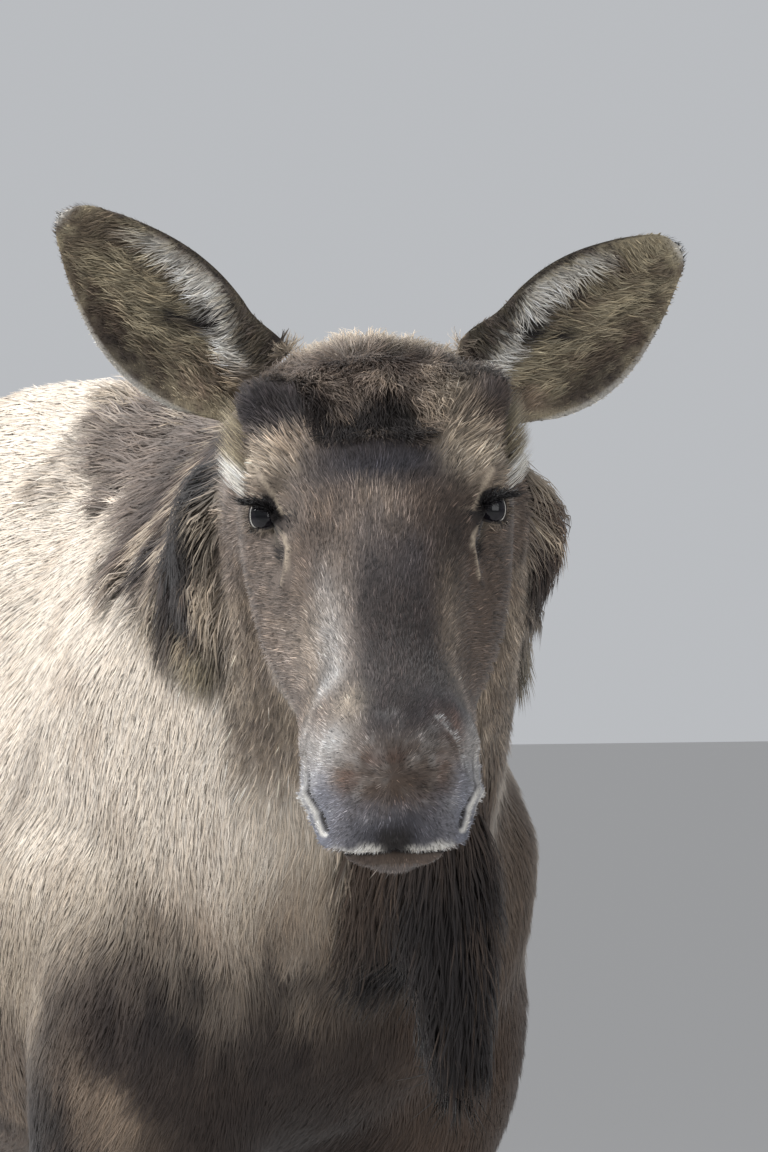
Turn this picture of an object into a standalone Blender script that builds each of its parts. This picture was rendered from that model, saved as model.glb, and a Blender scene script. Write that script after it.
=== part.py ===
"""A young bull moose in winter coat, life size and standing still, as a museum shows it.

Metres, +Z up. The animal faces -Y, its left side is +X, and it looks to its own right.
Trunk, neck, head, jaw, legs, bell and tail are lofted through named stations, melted into
one body by a voxel remesh, and parted into nodes with thin flat cuts. Outlines run out to
the tips of the coat. Antlers are shed: two low velvet buds stand on the brow.
"""

import math

import bmesh
import bpy
import numpy as np
from mathutils import Matrix, Vector

# ---- driving sizes -------------------------------------------------------------------
HEAD_ORIGIN = Vector((-0.200, -0.800, 1.745))  # midpoint between the eyes
HEAD_TURN = math.radians(28.5)  # towards the animal's right
HEAD_DROP = math.radians(45.0)  # muzzle below the level
HEAD_TILT = math.radians(1.7)  # left eye higher

EYE_SIDE = 0.1135  # of the eyeball's centre from the head's middle plane
EYE_FORWARD = 0.000
EYE_RISE = 0.000
EYE_RADIUS = 0.0200

EAR_LENGTH = 0.275
# Outline of an ear: share of its length, reach towards the crown and towards the cheek.
EAR_OUTLINE = (
    (0.00, 0.040, 0.052),
    (0.12, 0.054, 0.064),
    (0.30, 0.066, 0.074),
    (0.46, 0.070, 0.072),
    (0.62, 0.066, 0.060),
    (0.79, 0.050, 0.041),
    (0.92, 0.032, 0.022),
    (1.00, 0.012, 0.008),
)
EAR_THICKNESS = 0.013

HIND_SETBACK = 1.215  # of the hind cannon behind the withers
FORE_SETBACK = -0.180
HOOF_TOP = 0.100  # height of the coronet cut
FETLOCK_CUT = 0.235
FORE_KNEE_CUT = 0.520
HOCK_CUT = 0.600
ELBOW_CUT = 0.990
STIFLE_CUT = 1.025
DEWCLAW_LENGTH = 0.062

GAP = 0.0004  # between neighbouring solids
VOXEL = 0.010
BODY_TRIANGLES = 2200  # behind the head
HEAD_TRIANGLES = 820
AROUND = 24  # points round a loft

COAT_BROWN = (0.115, 0.088, 0.070)
COAT_PALE = (0.42, 0.36, 0.30)
COAT_DARK = (0.045, 0.035, 0.030)
LEG_GREY = (0.36, 0.32, 0.28)
MUZZLE_GREY = (0.17, 0.15, 0.145)
HORN_BLACK = (0.030, 0.026, 0.024)
EYE_DARK = (0.012, 0.010, 0.012)

# Trunk stations: set back, back line, underline, half width, height of the widest point.
TRUNK = (
    (-0.485, 1.520, 1.220, 0.140, 1.37),
    (-0.450, 1.620, 1.150, 0.206, 1.39),
    (-0.370, 1.735, 1.090, 0.254, 1.39),
    (-0.250, 1.822, 1.050, 0.270, 1.38),
    (-0.110, 1.880, 1.028, 0.274, 1.36),
    (0.040, 1.906, 1.018, 0.278, 1.34),
    (0.200, 1.914, 1.012, 0.286, 1.34),
    (0.400, 1.898, 1.015, 0.296, 1.34),
    (0.610, 1.842, 1.042, 0.298, 1.34),
    (0.820, 1.782, 1.090, 0.280, 1.36),
    (1.020, 1.742, 1.135, 0.258, 1.39),
    (1.200, 1.692, 1.175, 0.236, 1.40),
    (1.330, 1.605, 1.205, 0.190, 1.38),
    (1.405, 1.490, 1.250, 0.110, 1.36),
)

# Neck stations: centre x, y, z, half width, rise to the crest, drop to the throat.
NECK = (
    (0.000, 0.080, 1.45, 0.235, 0.37, 0.36),
    (-0.010, -0.140, 1.51, 0.245, 0.370, 0.38),
    (-0.035, -0.310, 1.575, 0.242, 0.310, 0.39),
    (-0.066, -0.445, 1.64, 0.212, 0.255, 0.35),
    (-0.096, -0.560, 1.70, 0.202, 0.205, 0.245),
    (-0.120, -0.645, 1.750, 0.216, 0.160, 0.165),
    (-0.145, -0.710, 1.772, 0.165, 0.110, 0.120),
)

# Head stations from poll to nose: forward, top, half width near the top, greatest half width
# and its rise, half width low down and its rise, underside.
HEAD = (
    (-0.220, 0.028, 0.048, 0.074, -0.035, 0.052, -0.085, -0.110),
    (-0.175, 0.084, 0.080, 0.110, -0.020, 0.092, -0.120, -0.165),
    (-0.118, 0.100, 0.096, 0.132, 0.005, 0.114, -0.130, -0.200),
    (-0.060, 0.086, 0.098, 0.138, 0.012, 0.124, -0.130, -0.210),
    (-0.015, 0.066, 0.088, 0.130, 0.014, 0.129, -0.110, -0.210),
    (0.035, 0.052, 0.076, 0.112, -0.008, 0.130, -0.095, -0.200),
    (0.095, 0.043, 0.066, 0.097, -0.018, 0.124, -0.090, -0.175),
    (0.155, 0.039, 0.058, 0.085, -0.022, 0.108, -0.086, -0.148),
    (0.215, 0.041, 0.052, 0.078, -0.026, 0.090, -0.080, -0.125),
    (0.265, 0.052, 0.056, 0.084, -0.026, 0.085, -0.074, -0.108),
    (0.315, 0.062, 0.062, 0.090, -0.026, 0.085, -0.070, -0.100),
    (0.360, 0.058, 0.059, 0.083, -0.026, 0.076, -0.066, -0.093),
    (0.395, 0.042, 0.051, 0.071, -0.028, 0.065, -0.064, -0.089),
    (0.420, 0.015, 0.038, 0.057, -0.034, 0.051, -0.062, -0.083),
    (0.434, -0.014, 0.022, 0.040, -0.044, 0.038, -0.058, -0.074),
)

# Lower jaw stations: forward, top, half width, underside.
JAW = (
    (-0.105, -0.120, 0.085, -0.225),
    (-0.050, -0.100, 0.110, -0.256),
    (0.015, -0.085, 0.119, -0.250),
    (0.080, -0.080, 0.110, -0.222),
    (0.150, -0.078, 0.088, -0.186),
    (0.220, -0.078, 0.064, -0.156),
    (0.290, -0.080, 0.049, -0.138),
    (0.345, -0.082, 0.046, -0.132),
    (0.376, -0.086, 0.039, -0.124),
    (0.390, -0.094, 0.024, -0.113),
)

# Leg stations: height, set back from the cannon, half width across, half depth fore and aft.
FORELEG = (
    (1.42, -0.030, 0.095, 0.150),
    (1.28, -0.060, 0.124, 0.185),
    (1.14, -0.050, 0.130, 0.178),
    (1.03, -0.020, 0.114, 0.146),
    (0.91, -0.006, 0.078, 0.098),
    (0.78, 0.000, 0.058, 0.069),
    (0.67, -0.004, 0.048, 0.054),
    (0.590, -0.010, 0.051, 0.057),
    (0.52, -0.006, 0.042, 0.047),
    (0.44, 0.000, 0.034, 0.041),
    (0.33, 0.002, 0.032, 0.038),
    (0.25, 0.002, 0.034, 0.041),
    (0.195, 0.000, 0.040, 0.047),
    (0.145, -0.018, 0.036, 0.040),
    (0.085, -0.036, 0.044, 0.045),
)
HINDLEG = (
    (1.60, -0.165, 0.020, 0.060),
    (1.52, -0.160, 0.066, 0.150),
    (1.42, -0.155, 0.112, 0.225),
    (1.26, -0.160, 0.126, 0.222),
    (1.12, -0.165, 0.106, 0.182),
    (1.00, -0.130, 0.082, 0.136),
    (0.90, -0.070, 0.064, 0.100),
    (0.80, -0.006, 0.052, 0.074),
    (0.715, 0.040, 0.047, 0.068),
    (0.63, 0.036, 0.042, 0.056),
    (0.54, 0.018, 0.035, 0.046),
    (0.40, 0.006, 0.033, 0.042),
    (0.27, 0.002, 0.035, 0.043),
    (0.200, 0.000, 0.041, 0.048),
    (0.148, -0.020, 0.036, 0.040),
    (0.085, -0.040, 0.044, 0.045),
)

# Each leg: name, side, stride ahead of its neutral place, spread of shoulder or hip, of hoof.
LEGS = (
    ("foreleg_left", 1, 0.055, 0.150, 0.135),
    ("foreleg_right", -1, -0.010, 0.150, 0.135),
    ("hindleg_left", 1, -0.060, 0.140, 0.130),
    ("hindleg_right", -1, 0.075, 0.140, 0.130),
)

# Bell stations below the throat: height, y, half width, half depth.
BELL = (
    (1.560, -0.570, 0.066, 0.075),
    (1.460, -0.612, 0.070, 0.072),
    (1.370, -0.632, 0.064, 0.062),
    (1.290, -0.638, 0.052, 0.050),
    (1.220, -0.638, 0.035, 0.036),
    (1.170, -0.636, 0.015, 0.016),
)
BELL_X = -0.045  # at a height of 1.5
BELL_LEAN = 0.12  # to the left for each metre down

# Tail stations: height, y, half width, half depth.
TAIL = (
    (1.590, 1.310, 0.050, 0.050),
    (1.530, 1.395, 0.044, 0.040),
    (1.470, 1.455, 0.038, 0.030),
    (1.415, 1.480, 0.031, 0.023),
    (1.360, 1.484, 0.014, 0.012),
)


# ---- general helpers -----------------------------------------------------------------
def clear_scene():
    for obj in list(bpy.data.objects):
        bpy.data.objects.remove(obj)


def make_material(name, colour, roughness, metallic=0.0):
    material = bpy.data.materials.new(name)
    material.use_nodes = True
    shader = material.node_tree.nodes["Principled BSDF"]
    shader.inputs["Base Color"].default_value = (*colour, 1.0)
    shader.inputs["Roughness"].default_value = roughness
    shader.inputs["Metallic"].default_value = metallic
    return material


def add_object(name, mesh):
    obj = bpy.data.objects.new(name, mesh)
    bpy.context.scene.collection.objects.link(obj)
    return obj


def smooth_rows(rows, steps):
    """Rows of numbers, with this many steps to each span of a Catmull-Rom curve through them."""
    known = np.array(rows, float)
    ends = (2 * known[0] - known[1], 2 * known[-1] - known[-2])
    padded = np.vstack([ends[0], known, ends[1]])
    made = []
    for i in range(len(known) - 1):
        a, b, c, d = padded[i : i + 4]
        for k in range(steps):
            t = k / steps
            bend = (2 * a - 5 * b + 4 * c - d) * t * t + (3 * b - a - 3 * c + d) * t**3
            made.append(0.5 * (2 * b + (c - a) * t + bend))
    made.append(known[-1])
    return made


def smooth_loop(corners, steps):
    """A closed Catmull-Rom curve through the corners, as points."""
    wrapped = [corners[-1], *corners, corners[0], corners[1]]
    curve = smooth_rows([tuple(corner) for corner in wrapped], steps)
    return curve[steps : steps * (len(corners) + 1)]


def mesh_of_rings(name, rings):
    """A closed mesh through rings of equally many points, with a flat cap at each end."""
    bm = bmesh.new()
    loops = [[bm.verts.new(point) for point in ring] for ring in rings]
    for low, high in zip(loops, loops[1:]):
        for i in range(len(low)):
            j = (i + 1) % len(low)
            bm.faces.new((low[i], low[j], high[j], high[i]))
    bm.faces.new(tuple(reversed(loops[0])))
    bm.faces.new(tuple(loops[-1]))
    bmesh.ops.recalc_face_normals(bm, faces=bm.faces)
    mesh = bpy.data.meshes.new(name)
    bm.to_mesh(mesh)
    bm.free()
    return mesh


def oval(centre, side, up, half_width, rise, drop, narrowing=0.0):
    """Points of an oval, full below, whose upper half is narrowed towards its top."""
    ring = []
    for i in range(AROUND):
        angle = math.tau * i / AROUND
        height = math.sin(angle)
        fullness = 1.0 if height > 0 else 0.82
        width = math.copysign(abs(math.cos(angle)) ** fullness, math.cos(angle))
        width *= half_width * (1 - narrowing * max(height, 0.0))
        ring.append(centre + side * width + up * height * (rise if height > 0 else drop))
    return ring


def applied(obj):
    """Freezes the object's modifiers into its mesh."""
    graph = bpy.context.evaluated_depsgraph_get()
    mesh = bpy.data.meshes.new_from_object(obj.evaluated_get(graph))
    obj.modifiers.clear()
    obj.data = mesh
    return obj


def combine(first, second, operation):
    """Booleans the second object into the first."""
    modifier = first.modifiers.new(operation.lower(), "BOOLEAN")
    modifier.operation = operation
    modifier.object = second
    modifier.solver = "EXACT"
    return applied(first)


def copy_of(obj, name):
    return add_object(name, obj.data.copy())


def block(base, out, across, reach, width, height, low=None):
    """A box standing on the plane through base that faces out. Its height runs equally both
    ways from base, or down by low and up by height."""
    out = out.normalized()
    across = (across - out * across.dot(out)).normalized()
    up = out.cross(across)
    down = height if low is None else low
    bm = bmesh.new()
    bmesh.ops.create_cube(bm, size=2.0)
    axes = Matrix((across * width, out * (reach / 2), up * ((height + down) / 2))).transposed()
    middle = base + out * (reach / 2) + up * ((height - down) / 2)
    for vertex in bm.verts:
        vertex.co = middle + axes @ vertex.co
    bm.normal_update()
    bmesh.ops.recalc_face_normals(bm, faces=bm.faces)
    mesh = bpy.data.meshes.new("block")
    bm.to_mesh(mesh)
    bm.free()
    return mesh


def cut_off(source, name, material, base, out, across, reach, width, height, low=None):
    """Parts what lies inside a block from the source, as a node of its own, a gap apart."""
    down = height if low is None else low
    inner = add_object("cutter", block(base, out, across, reach, width, height, down))
    grown = (reach + 2 * GAP, width + GAP, height + GAP, down + GAP)
    outer_mesh = block(base - out.normalized() * GAP, out, across, *grown)
    outer = add_object("cutter", outer_mesh)
    piece = combine(copy_of(source, name), inner, "INTERSECT")
    combine(source, outer, "DIFFERENCE")
    for cutter in (inner, outer):
        bpy.data.objects.remove(cutter)
    return finish(piece, material)


def finish(obj, material):
    obj.data.materials.clear()
    obj.data.materials.append(material)
    obj.data.shade_smooth()
    obj.data.set_sharp_from_angle(angle=math.radians(40))
    return obj


# ---- the head's own axes ---------------------------------------------------------------
def head_turning():
    turn = Matrix.Rotation(-HEAD_TURN, 3, "Z")
    tilt = Matrix.Rotation(-HEAD_TILT, 3, "Y")
    return turn @ tilt @ Matrix.Rotation(HEAD_DROP, 3, "X")


HEAD_AXES = head_turning()
LEFTWARD = HEAD_AXES @ Vector((1, 0, 0))
NOSEWARD = HEAD_AXES @ Vector((0, -1, 0))
CROWNWARD = HEAD_AXES @ Vector((0, 0, 1))
HEADING = Vector((-math.sin(HEAD_TURN), -math.cos(HEAD_TURN), 0))
UP = Vector((0, 0, 1))


def in_head(side, forward, rise):
    return HEAD_ORIGIN + LEFTWARD * side + NOSEWARD * forward + CROWNWARD * rise


def head_cut():
    """The plane behind the poll and the jaw: a point on it, and the ways out and across."""
    base = HEAD_ORIGIN - HEADING * 0.210 + UP * 0.047
    return base, (HEADING * 0.896 - UP * 0.443).normalized(), LEFTWARD


# ---- lofts -----------------------------------------------------------------------------
def trunk_mesh():
    """Trunk, narrow at the hump and the back line and full at the belly."""
    side = Vector((1, 0, 0))
    rings = []
    for set_back, top, bottom, half_width, middle in smooth_rows(TRUNK, 3):
        centre = Vector((0, set_back, middle))
        rings.append(oval(centre, side, UP, half_width, top - middle, middle - bottom, 0.42))
    return mesh_of_rings("trunk_loft", rings)


def neck_mesh():
    rows = smooth_rows(NECK, 4)
    rings = []
    for i, (x, y, z, half_width, rise, drop) in enumerate(rows):
        before, after = rows[max(i - 1, 0)], rows[min(i + 1, len(rows) - 1)]
        along = Vector(after[:3] - before[:3]).normalized()
        side = along.cross(UP).normalized()
        up = side.cross(along)
        rings.append(oval(Vector((x, y, z)), side, up, half_width, rise, drop, 0.35))
    return mesh_of_rings("neck_loft", rings)


def head_mesh():
    rings = []
    for forward, top, w_top, w_mid, n_mid, w_low, n_low, bottom in smooth_rows(HEAD, 3):
        brow = top - 0.22 * (top - n_mid)
        right = [(-w_top, brow), (-w_mid, n_mid), (-w_low, n_low)]
        left = [(-side, rise) for side, rise in reversed(right)]
        outline = smooth_loop([(0, top), *right, (0, bottom), *left], AROUND // 8)
        rings.append([in_head(side, forward, rise) for side, rise in outline])
    return mesh_of_rings("head_loft", rings)


def jaw_mesh():
    rings = []
    for forward, top, half_width, bottom in smooth_rows(JAW, 3):
        middle, half = (top + bottom) / 2, (top - bottom) / 2
        centre = in_head(0, forward, middle)
        rings.append(oval(centre, LEFTWARD, CROWNWARD, half_width, half, half))
    return mesh_of_rings("jaw_loft", rings)


def column_mesh(name, rows, place):
    """A loft of level ovals. place(height) gives what is added to a row's x and y."""
    rings = []
    for height, y, half_width, half_depth in smooth_rows(rows, 3):
        x_shift, y_shift = place(height)
        centre = Vector((x_shift, y + y_shift, height))
        ahead = Vector((0, -1, 0))
        side = Vector((1, 0, 0))
        rings.append(oval(centre, side, ahead, half_width, half_depth, half_depth))
    return mesh_of_rings(name, rings)


def leg_mesh(name, side, stride, top_spread, hoof_spread):
    fore = name.startswith("foreleg")
    set_back = FORE_SETBACK if fore else HIND_SETBACK
    rows = FORELEG if fore else HINDLEG
    top = rows[0][0]

    def place(height):
        share = height / top
        spread = hoof_spread + (top_spread - hoof_spread) * share
        return side * spread, set_back - stride * (1 - share)

    return column_mesh(name + "_loft", rows, place)


def bell_x(height):
    return BELL_X + BELL_LEAN * (1.5 - height)


def bud_mesh(side):
    """A low velvet knob where the antler will grow, as a squat turned dome."""
    bm = bmesh.new()
    bmesh.ops.create_uvsphere(bm, u_segments=16, v_segments=10, radius=1.0)
    out = (CROWNWARD * 0.72 + LEFTWARD * side * 0.62 - NOSEWARD * 0.30).normalized()
    across = NOSEWARD.cross(out).normalized()
    along = out.cross(across)
    axes = Matrix((across * 0.029, along * 0.029, out * 0.030)).transposed()
    centre = in_head(side * 0.117, -0.100, 0.062)
    for vertex in bm.verts:
        vertex.co = centre + axes @ vertex.co
    bm.normal_update()
    bmesh.ops.recalc_face_normals(bm, faces=bm.faces)
    mesh = bpy.data.meshes.new("bud")
    bm.to_mesh(mesh)
    bm.free()
    return mesh, centre, out


def triangle_count(obj, chosen):
    """Triangles of the object whose corners all lie in the chosen set of vertices."""
    faces = (f for f in obj.data.polygons if all(v in chosen for v in f.vertices))
    return sum(len(face.vertices) - 2 for face in faces)


def thin(obj, in_head, target):
    """Thins the head, or all but the head, down to the target number of triangles."""
    base, out, _ = head_cut()
    chosen = {
        vertex.index
        for vertex in obj.data.vertices
        if (out.dot(vertex.co - base) > -0.02 and vertex.co.z > 1.33) == in_head
    }
    group = obj.vertex_groups.new(name="thinned")
    group.add(list(chosen), 1.0, "REPLACE")
    total = triangle_count(obj, range(len(obj.data.vertices)))
    surplus = triangle_count(obj, chosen) - target
    modifier = obj.modifiers.new("thin", "DECIMATE")
    modifier.ratio = 1 - surplus / total
    modifier.vertex_group = group.name
    modifier.vertex_group_factor = 10.0
    modifier.use_collapse_triangulate = True
    applied(obj)
    obj.vertex_groups.clear()
    return obj


def melted_body():
    """All the lofts as one smooth closed surface, finer at the head than behind it."""
    meshes = [trunk_mesh(), neck_mesh(), head_mesh(), jaw_mesh()]
    meshes += [leg_mesh(*leg) for leg in LEGS]
    meshes.append(column_mesh("bell_loft", BELL, lambda height: (bell_x(height), 0.0)))
    meshes.append(column_mesh("tail_loft", TAIL, lambda height: (0.0, 0.0)))
    meshes += [bud_mesh(side)[0] for side in (1, -1)]
    bm = bmesh.new()
    for mesh in meshes:
        bm.from_mesh(mesh)
    joined = bpy.data.meshes.new("body")
    bm.to_mesh(joined)
    bm.free()
    body = add_object("body", joined)
    remesh = body.modifiers.new("melt", "REMESH")
    remesh.mode = "VOXEL"
    remesh.voxel_size = VOXEL
    ease = body.modifiers.new("ease", "SMOOTH")
    ease.factor = 0.5
    ease.iterations = 9
    applied(body)
    thin(body, False, BODY_TRIANGLES)
    return thin(body, True, HEAD_TRIANGLES)


# ---- ears ------------------------------------------------------------------------------
def ear_frame(side):
    """Root, direction of growth and direction in which the ear opens. The right ear stands
    higher than the left."""
    across = LEFTWARD * side
    root = in_head(side * 0.116, -0.150, 0.026)
    lift = math.radians(34.0 if side > 0 else 43.0)
    set_back = -0.40 if side > 0 else 0.05
    along = (across * math.cos(lift) + UP * math.sin(lift) + HEADING * set_back).normalized()
    opening = (HEADING * 0.97 + across * 0.10 - UP * 0.16).normalized()
    opening = (opening - along * opening.dot(along)).normalized()
    return root, along, opening


def ear_reach(share, cheekward):
    """Width of the leaf from its middle line to one of its edges."""
    column = 2 if cheekward else 1
    for before, after in zip(EAR_OUTLINE, EAR_OUTLINE[1:]):
        if share <= after[0]:
            t = (share - before[0]) / (after[0] - before[0])
            return before[column] * (1 - t) + after[column] * t
    return EAR_OUTLINE[-1][column]


def ear_mesh(side):
    """A cupped leaf with a front and a back surface that meet in a rounded rim."""
    root, along, opening = ear_frame(side)
    across = along.cross(opening).normalized()
    lengths, widths = 11, 4
    rings = []
    for i in range(lengths + 1):
        share = i / lengths
        half = (ear_reach(share, True) + ear_reach(share, False)) / 2
        depth = 0.052 * (1 - share) ** 0.7 * min(1.0, half / 0.05) + 0.004
        thick = EAR_THICKNESS * (1.25 - 0.55 * share)
        ring = []
        for face in (1, -1):
            for k in range(-widths, widths):
                v = face * k / widths
                cup = -depth * (1 - v * v)
                wall = thick * math.sqrt(1 - 0.75 * v * v) / 2
                reach = ear_reach(share, v * side > 0)
                point = root + along * EAR_LENGTH * share + across * reach * v
                ring.append(point + opening * (cup + face * wall * (abs(v) < 1)))
        rings.append(ring)
    return mesh_of_rings("ear", rings)


# ---- feet ------------------------------------------------------------------------------
def toe_mesh(side, x, y):
    """One cloven toe: pointed ahead, flat on its inner side and on the ground."""
    levels = ((0.0, 1.00, 0.0), (0.018, 0.99, 0.003), (0.055, 0.80, 0.016), (0.0, 0, 0))
    length, width = 0.158, 0.053
    rings = []
    for height, scale, lean in levels[:-1] + ((HOOF_TOP - GAP, 0.60, 0.030),):
        ring = []
        for i in range(12):
            angle = math.tau * i / 12
            fore = math.cos(angle)
            out = math.sin(angle)
            reach = length * 0.5 * fore * scale
            taper = 1 - 0.42 * max(fore, 0.0) ** 2
            spread = width * 0.5 * (out if out > 0 else out * 0.72) * taper
            spread *= 0.55 + 0.45 * scale
            ring.append(Vector((x + side * spread, y - reach + lean, height)))
        rings.append(ring)
    return mesh_of_rings("toe", rings)


def foot_centre(name, side, stride, top_spread, hoof_spread):
    rows = FORELEG if name.startswith("foreleg") else HINDLEG
    set_back = FORE_SETBACK if name.startswith("foreleg") else HIND_SETBACK
    share = rows[-1][0] / rows[0][0]
    x = side * (hoof_spread + (top_spread - hoof_spread) * share)
    return x, set_back + rows[-1][1] - stride * (1 - share)


def dewclaw_mesh(x, y):
    """A short horny cone that leans back from behind the pastern."""
    out = Vector((0, 0.62, -0.78)).normalized()
    side = Vector((1, 0, 0))
    up = side.cross(out)
    rings = []
    for share, radius in ((0.0, 0.0160), (0.6, 0.0145), (1.0, 0.0060)):
        centre = Vector((x, y, 0.160)) + out * DEWCLAW_LENGTH * share
        ring = []
        for i in range(8):
            angle = math.tau * i / 8
            ring.append(centre + (side * math.cos(angle) + up * math.sin(angle)) * radius)
        rings.append(ring)
    return mesh_of_rings("dewclaw", rings)


def add_feet(body, horn):
    """Toes as solids of their own, and dewclaws joined to the body, to be parted later."""
    for leg in LEGS:
        x, y = foot_centre(*leg)
        for label, side in (("inner", -leg[1]), ("outer", leg[1])):
            toe = add_object(
                f"{leg[0]}_hoof_{label}", toe_mesh(side, x + side * 0.0215, y - 0.018)
            )
            finish(toe, horn)
            claw = add_object("dewclaw", dewclaw_mesh(x + side * 0.020, y + 0.052))
            combine(body, claw, "UNION")
            bpy.data.objects.remove(claw)


# ---- parting ---------------------------------------------------------------------------
def part_leg(body, leg, upper, lower, horn):
    name, side = leg[0], leg[1]
    fore = name.startswith("foreleg")
    x, y = foot_centre(*leg)
    down = Vector((0, 0, -1))
    back = Vector((0, 1, 0))
    across = Vector((1, 0, 0))
    for label, place in (("inner", -side), ("outer", side)):
        claw_root = Vector((x + place * 0.0215, y + 0.070, 0.125))
        claw = (f"{name}_dewclaw_{label}", horn, claw_root, back, across)
        cut_off(body, *claw, 0.05, 0.0210, 0.029)
    cuts = (
        ("pastern", lower, FETLOCK_CUT, 0.5),
        ("cannon", lower, FORE_KNEE_CUT if fore else HOCK_CUT, 0.6),
        ("forearm" if fore else "gaskin", upper, ELBOW_CUT if fore else STIFLE_CUT, 0.8),
    )
    # The sole of the pastern is squared off just above the toes.
    sole = add_object(
        "cutter", block(Vector((x, y, HOOF_TOP)), down, across, 0.1, 0.1, 0.2)
    )
    combine(body, sole, "DIFFERENCE")
    bpy.data.objects.remove(sole)
    for label, material, height, reach in cuts:
        base = Vector((side * 0.195, y, height))
        piece = (f"{name}_{label}", material, base, down, across)
        cut_off(body, *piece, reach, 0.155 if fore else 0.180, 0.34)


def part_head(body, coat, velvet, grey):
    jaw_base = in_head(0, 0.100, -0.094)
    cut_off(body, "lower_jaw", grey, jaw_base, -CROWNWARD, LEFTWARD, 0.20, 0.16, 0.33, 0.0)
    for label, side in (("left", 1), ("right", -1)):
        _, centre, out = bud_mesh(side)
        bud = (f"antler_bud_{label}", velvet, centre + out * 0.010, out, NOSEWARD)
        cut_off(body, *bud, 0.08, 0.045, 0.045)
    for label, side in (("left", 1), ("right", -1)):
        root, along, opening = ear_frame(side)
        ear = (f"ear_{label}", coat, root + along * 0.045, along, opening)
        cut_off(body, *ear, 0.40, 0.085, 0.085)
    return cut_off(body, "head", coat, *head_cut(), 0.9, 0.40, 0.45, 0.205)


def add_eyes(head, dark):
    """Eyeballs set in sockets that open at the skin."""
    for label, side in (("left", 1), ("right", -1)):
        centre = in_head(side * EYE_SIDE, EYE_FORWARD, EYE_RISE)
        for name, radius in (("socket", EYE_RADIUS + GAP), ("eye", EYE_RADIUS)):
            bm = bmesh.new()
            bmesh.ops.create_uvsphere(bm, u_segments=16, v_segments=8, radius=radius)
            mesh = bpy.data.meshes.new(name)
            bm.to_mesh(mesh)
            bm.free()
            mesh.transform(Matrix.Translation(centre))
            ball = add_object(name, mesh)
            if name == "socket":
                combine(head, ball, "DIFFERENCE")
                bpy.data.objects.remove(ball)
            else:
                ball.name = f"eye_{label}"
                finish(ball, dark)


def stand_on_origin():
    """Moves everything so that the origin is the middle of the box's floor."""
    nodes = [obj for obj in bpy.context.scene.objects if obj.type == "MESH"]
    points = np.array([vertex.co for obj in nodes for vertex in obj.data.vertices])
    low, high = points.min(axis=0), points.max(axis=0)
    shift = Matrix.Translation((-(low[0] + high[0]) / 2, -(low[1] + high[1]) / 2, -low[2]))
    for obj in nodes:
        obj.data.transform(shift)


def build():
    clear_scene()
    coat = make_material("coat", COAT_BROWN, 0.85)
    pale = make_material("flank_coat", COAT_PALE, 0.85)
    dark = make_material("bell_hair", COAT_DARK, 0.8)
    legs = make_material("leg_coat", LEG_GREY, 0.85)
    grey = make_material("muzzle", MUZZLE_GREY, 0.7)
    velvet = make_material("velvet", COAT_DARK, 0.95)
    horn = make_material("hoof_horn", HORN_BLACK, 0.45)
    eye = make_material("eye", EYE_DARK, 0.08)

    body = melted_body()
    for side in (1, -1):
        ear = add_object("ear", ear_mesh(side))
        combine(body, ear, "UNION")
        bpy.data.objects.remove(ear)
    add_feet(body, horn)
    for leg in LEGS:
        part_leg(body, leg, coat, legs, horn)
    across = Vector((1, 0, 0))
    bell_root = Vector((BELL_X, -0.615, 1.460))
    bell = ("bell", dark, bell_root, Vector((0, -0.800, -0.595)), across)
    cut_off(body, *bell, 0.30, 0.10, 0.075, 0.228)
    head = part_head(body, coat, velvet, grey)
    add_eyes(head, eye)
    neck_root = Vector((0, -0.49, 1.32))
    neck_out = Vector((0, -0.876, 0.483))
    cut_off(body, "neck", pale, neck_root, neck_out, across, 0.9, 0.5, 0.9, 0.25)
    tail_root = Vector((0, 1.434, 1.40))
    cut_off(body, "tail", coat, tail_root, Vector((0, 1, 0)), across, 0.1, 0.08, 0.13)
    body.name = "trunk"
    finish(body, pale)
    stand_on_origin()


build()
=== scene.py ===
"""Looks of a young bull moose in winter coat, life size and standing still.

One skin covers head, neck, trunk and legs. Over it lies the coat: solid tufts that follow the
lie of the hair, long at the ruff, the bell and in the ears, short on the face and legs. The
eyes, lashes, hooves and antler buds are pieces of their own.
"""

import math

import bmesh
import bpy
import numpy as np
from bpy.props import FloatProperty, FloatVectorProperty, PointerProperty
from bpy.types import Operator, Panel, PropertyGroup
from mathutils import Matrix, Vector
from mathutils.bvhtree import BVHTree


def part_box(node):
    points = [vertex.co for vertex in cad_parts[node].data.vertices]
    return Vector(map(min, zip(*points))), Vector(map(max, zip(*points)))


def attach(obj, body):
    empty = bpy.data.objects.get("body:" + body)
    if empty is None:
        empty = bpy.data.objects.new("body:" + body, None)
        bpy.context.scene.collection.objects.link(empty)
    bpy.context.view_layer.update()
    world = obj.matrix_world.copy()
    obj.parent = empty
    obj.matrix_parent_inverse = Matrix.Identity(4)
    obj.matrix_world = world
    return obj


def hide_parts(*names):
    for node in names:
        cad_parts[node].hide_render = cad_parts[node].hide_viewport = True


bl_info = {
    "name": "Moose in winter coat",
    "version": (1, 0, 0),
    "blender": (4, 5, 0),
    "location": "View3D > Sidebar > Moose",
    "description": "Builds the skin, coat, eyes, hooves and stage of a standing moose",
    "category": "Add Mesh",
}

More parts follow.
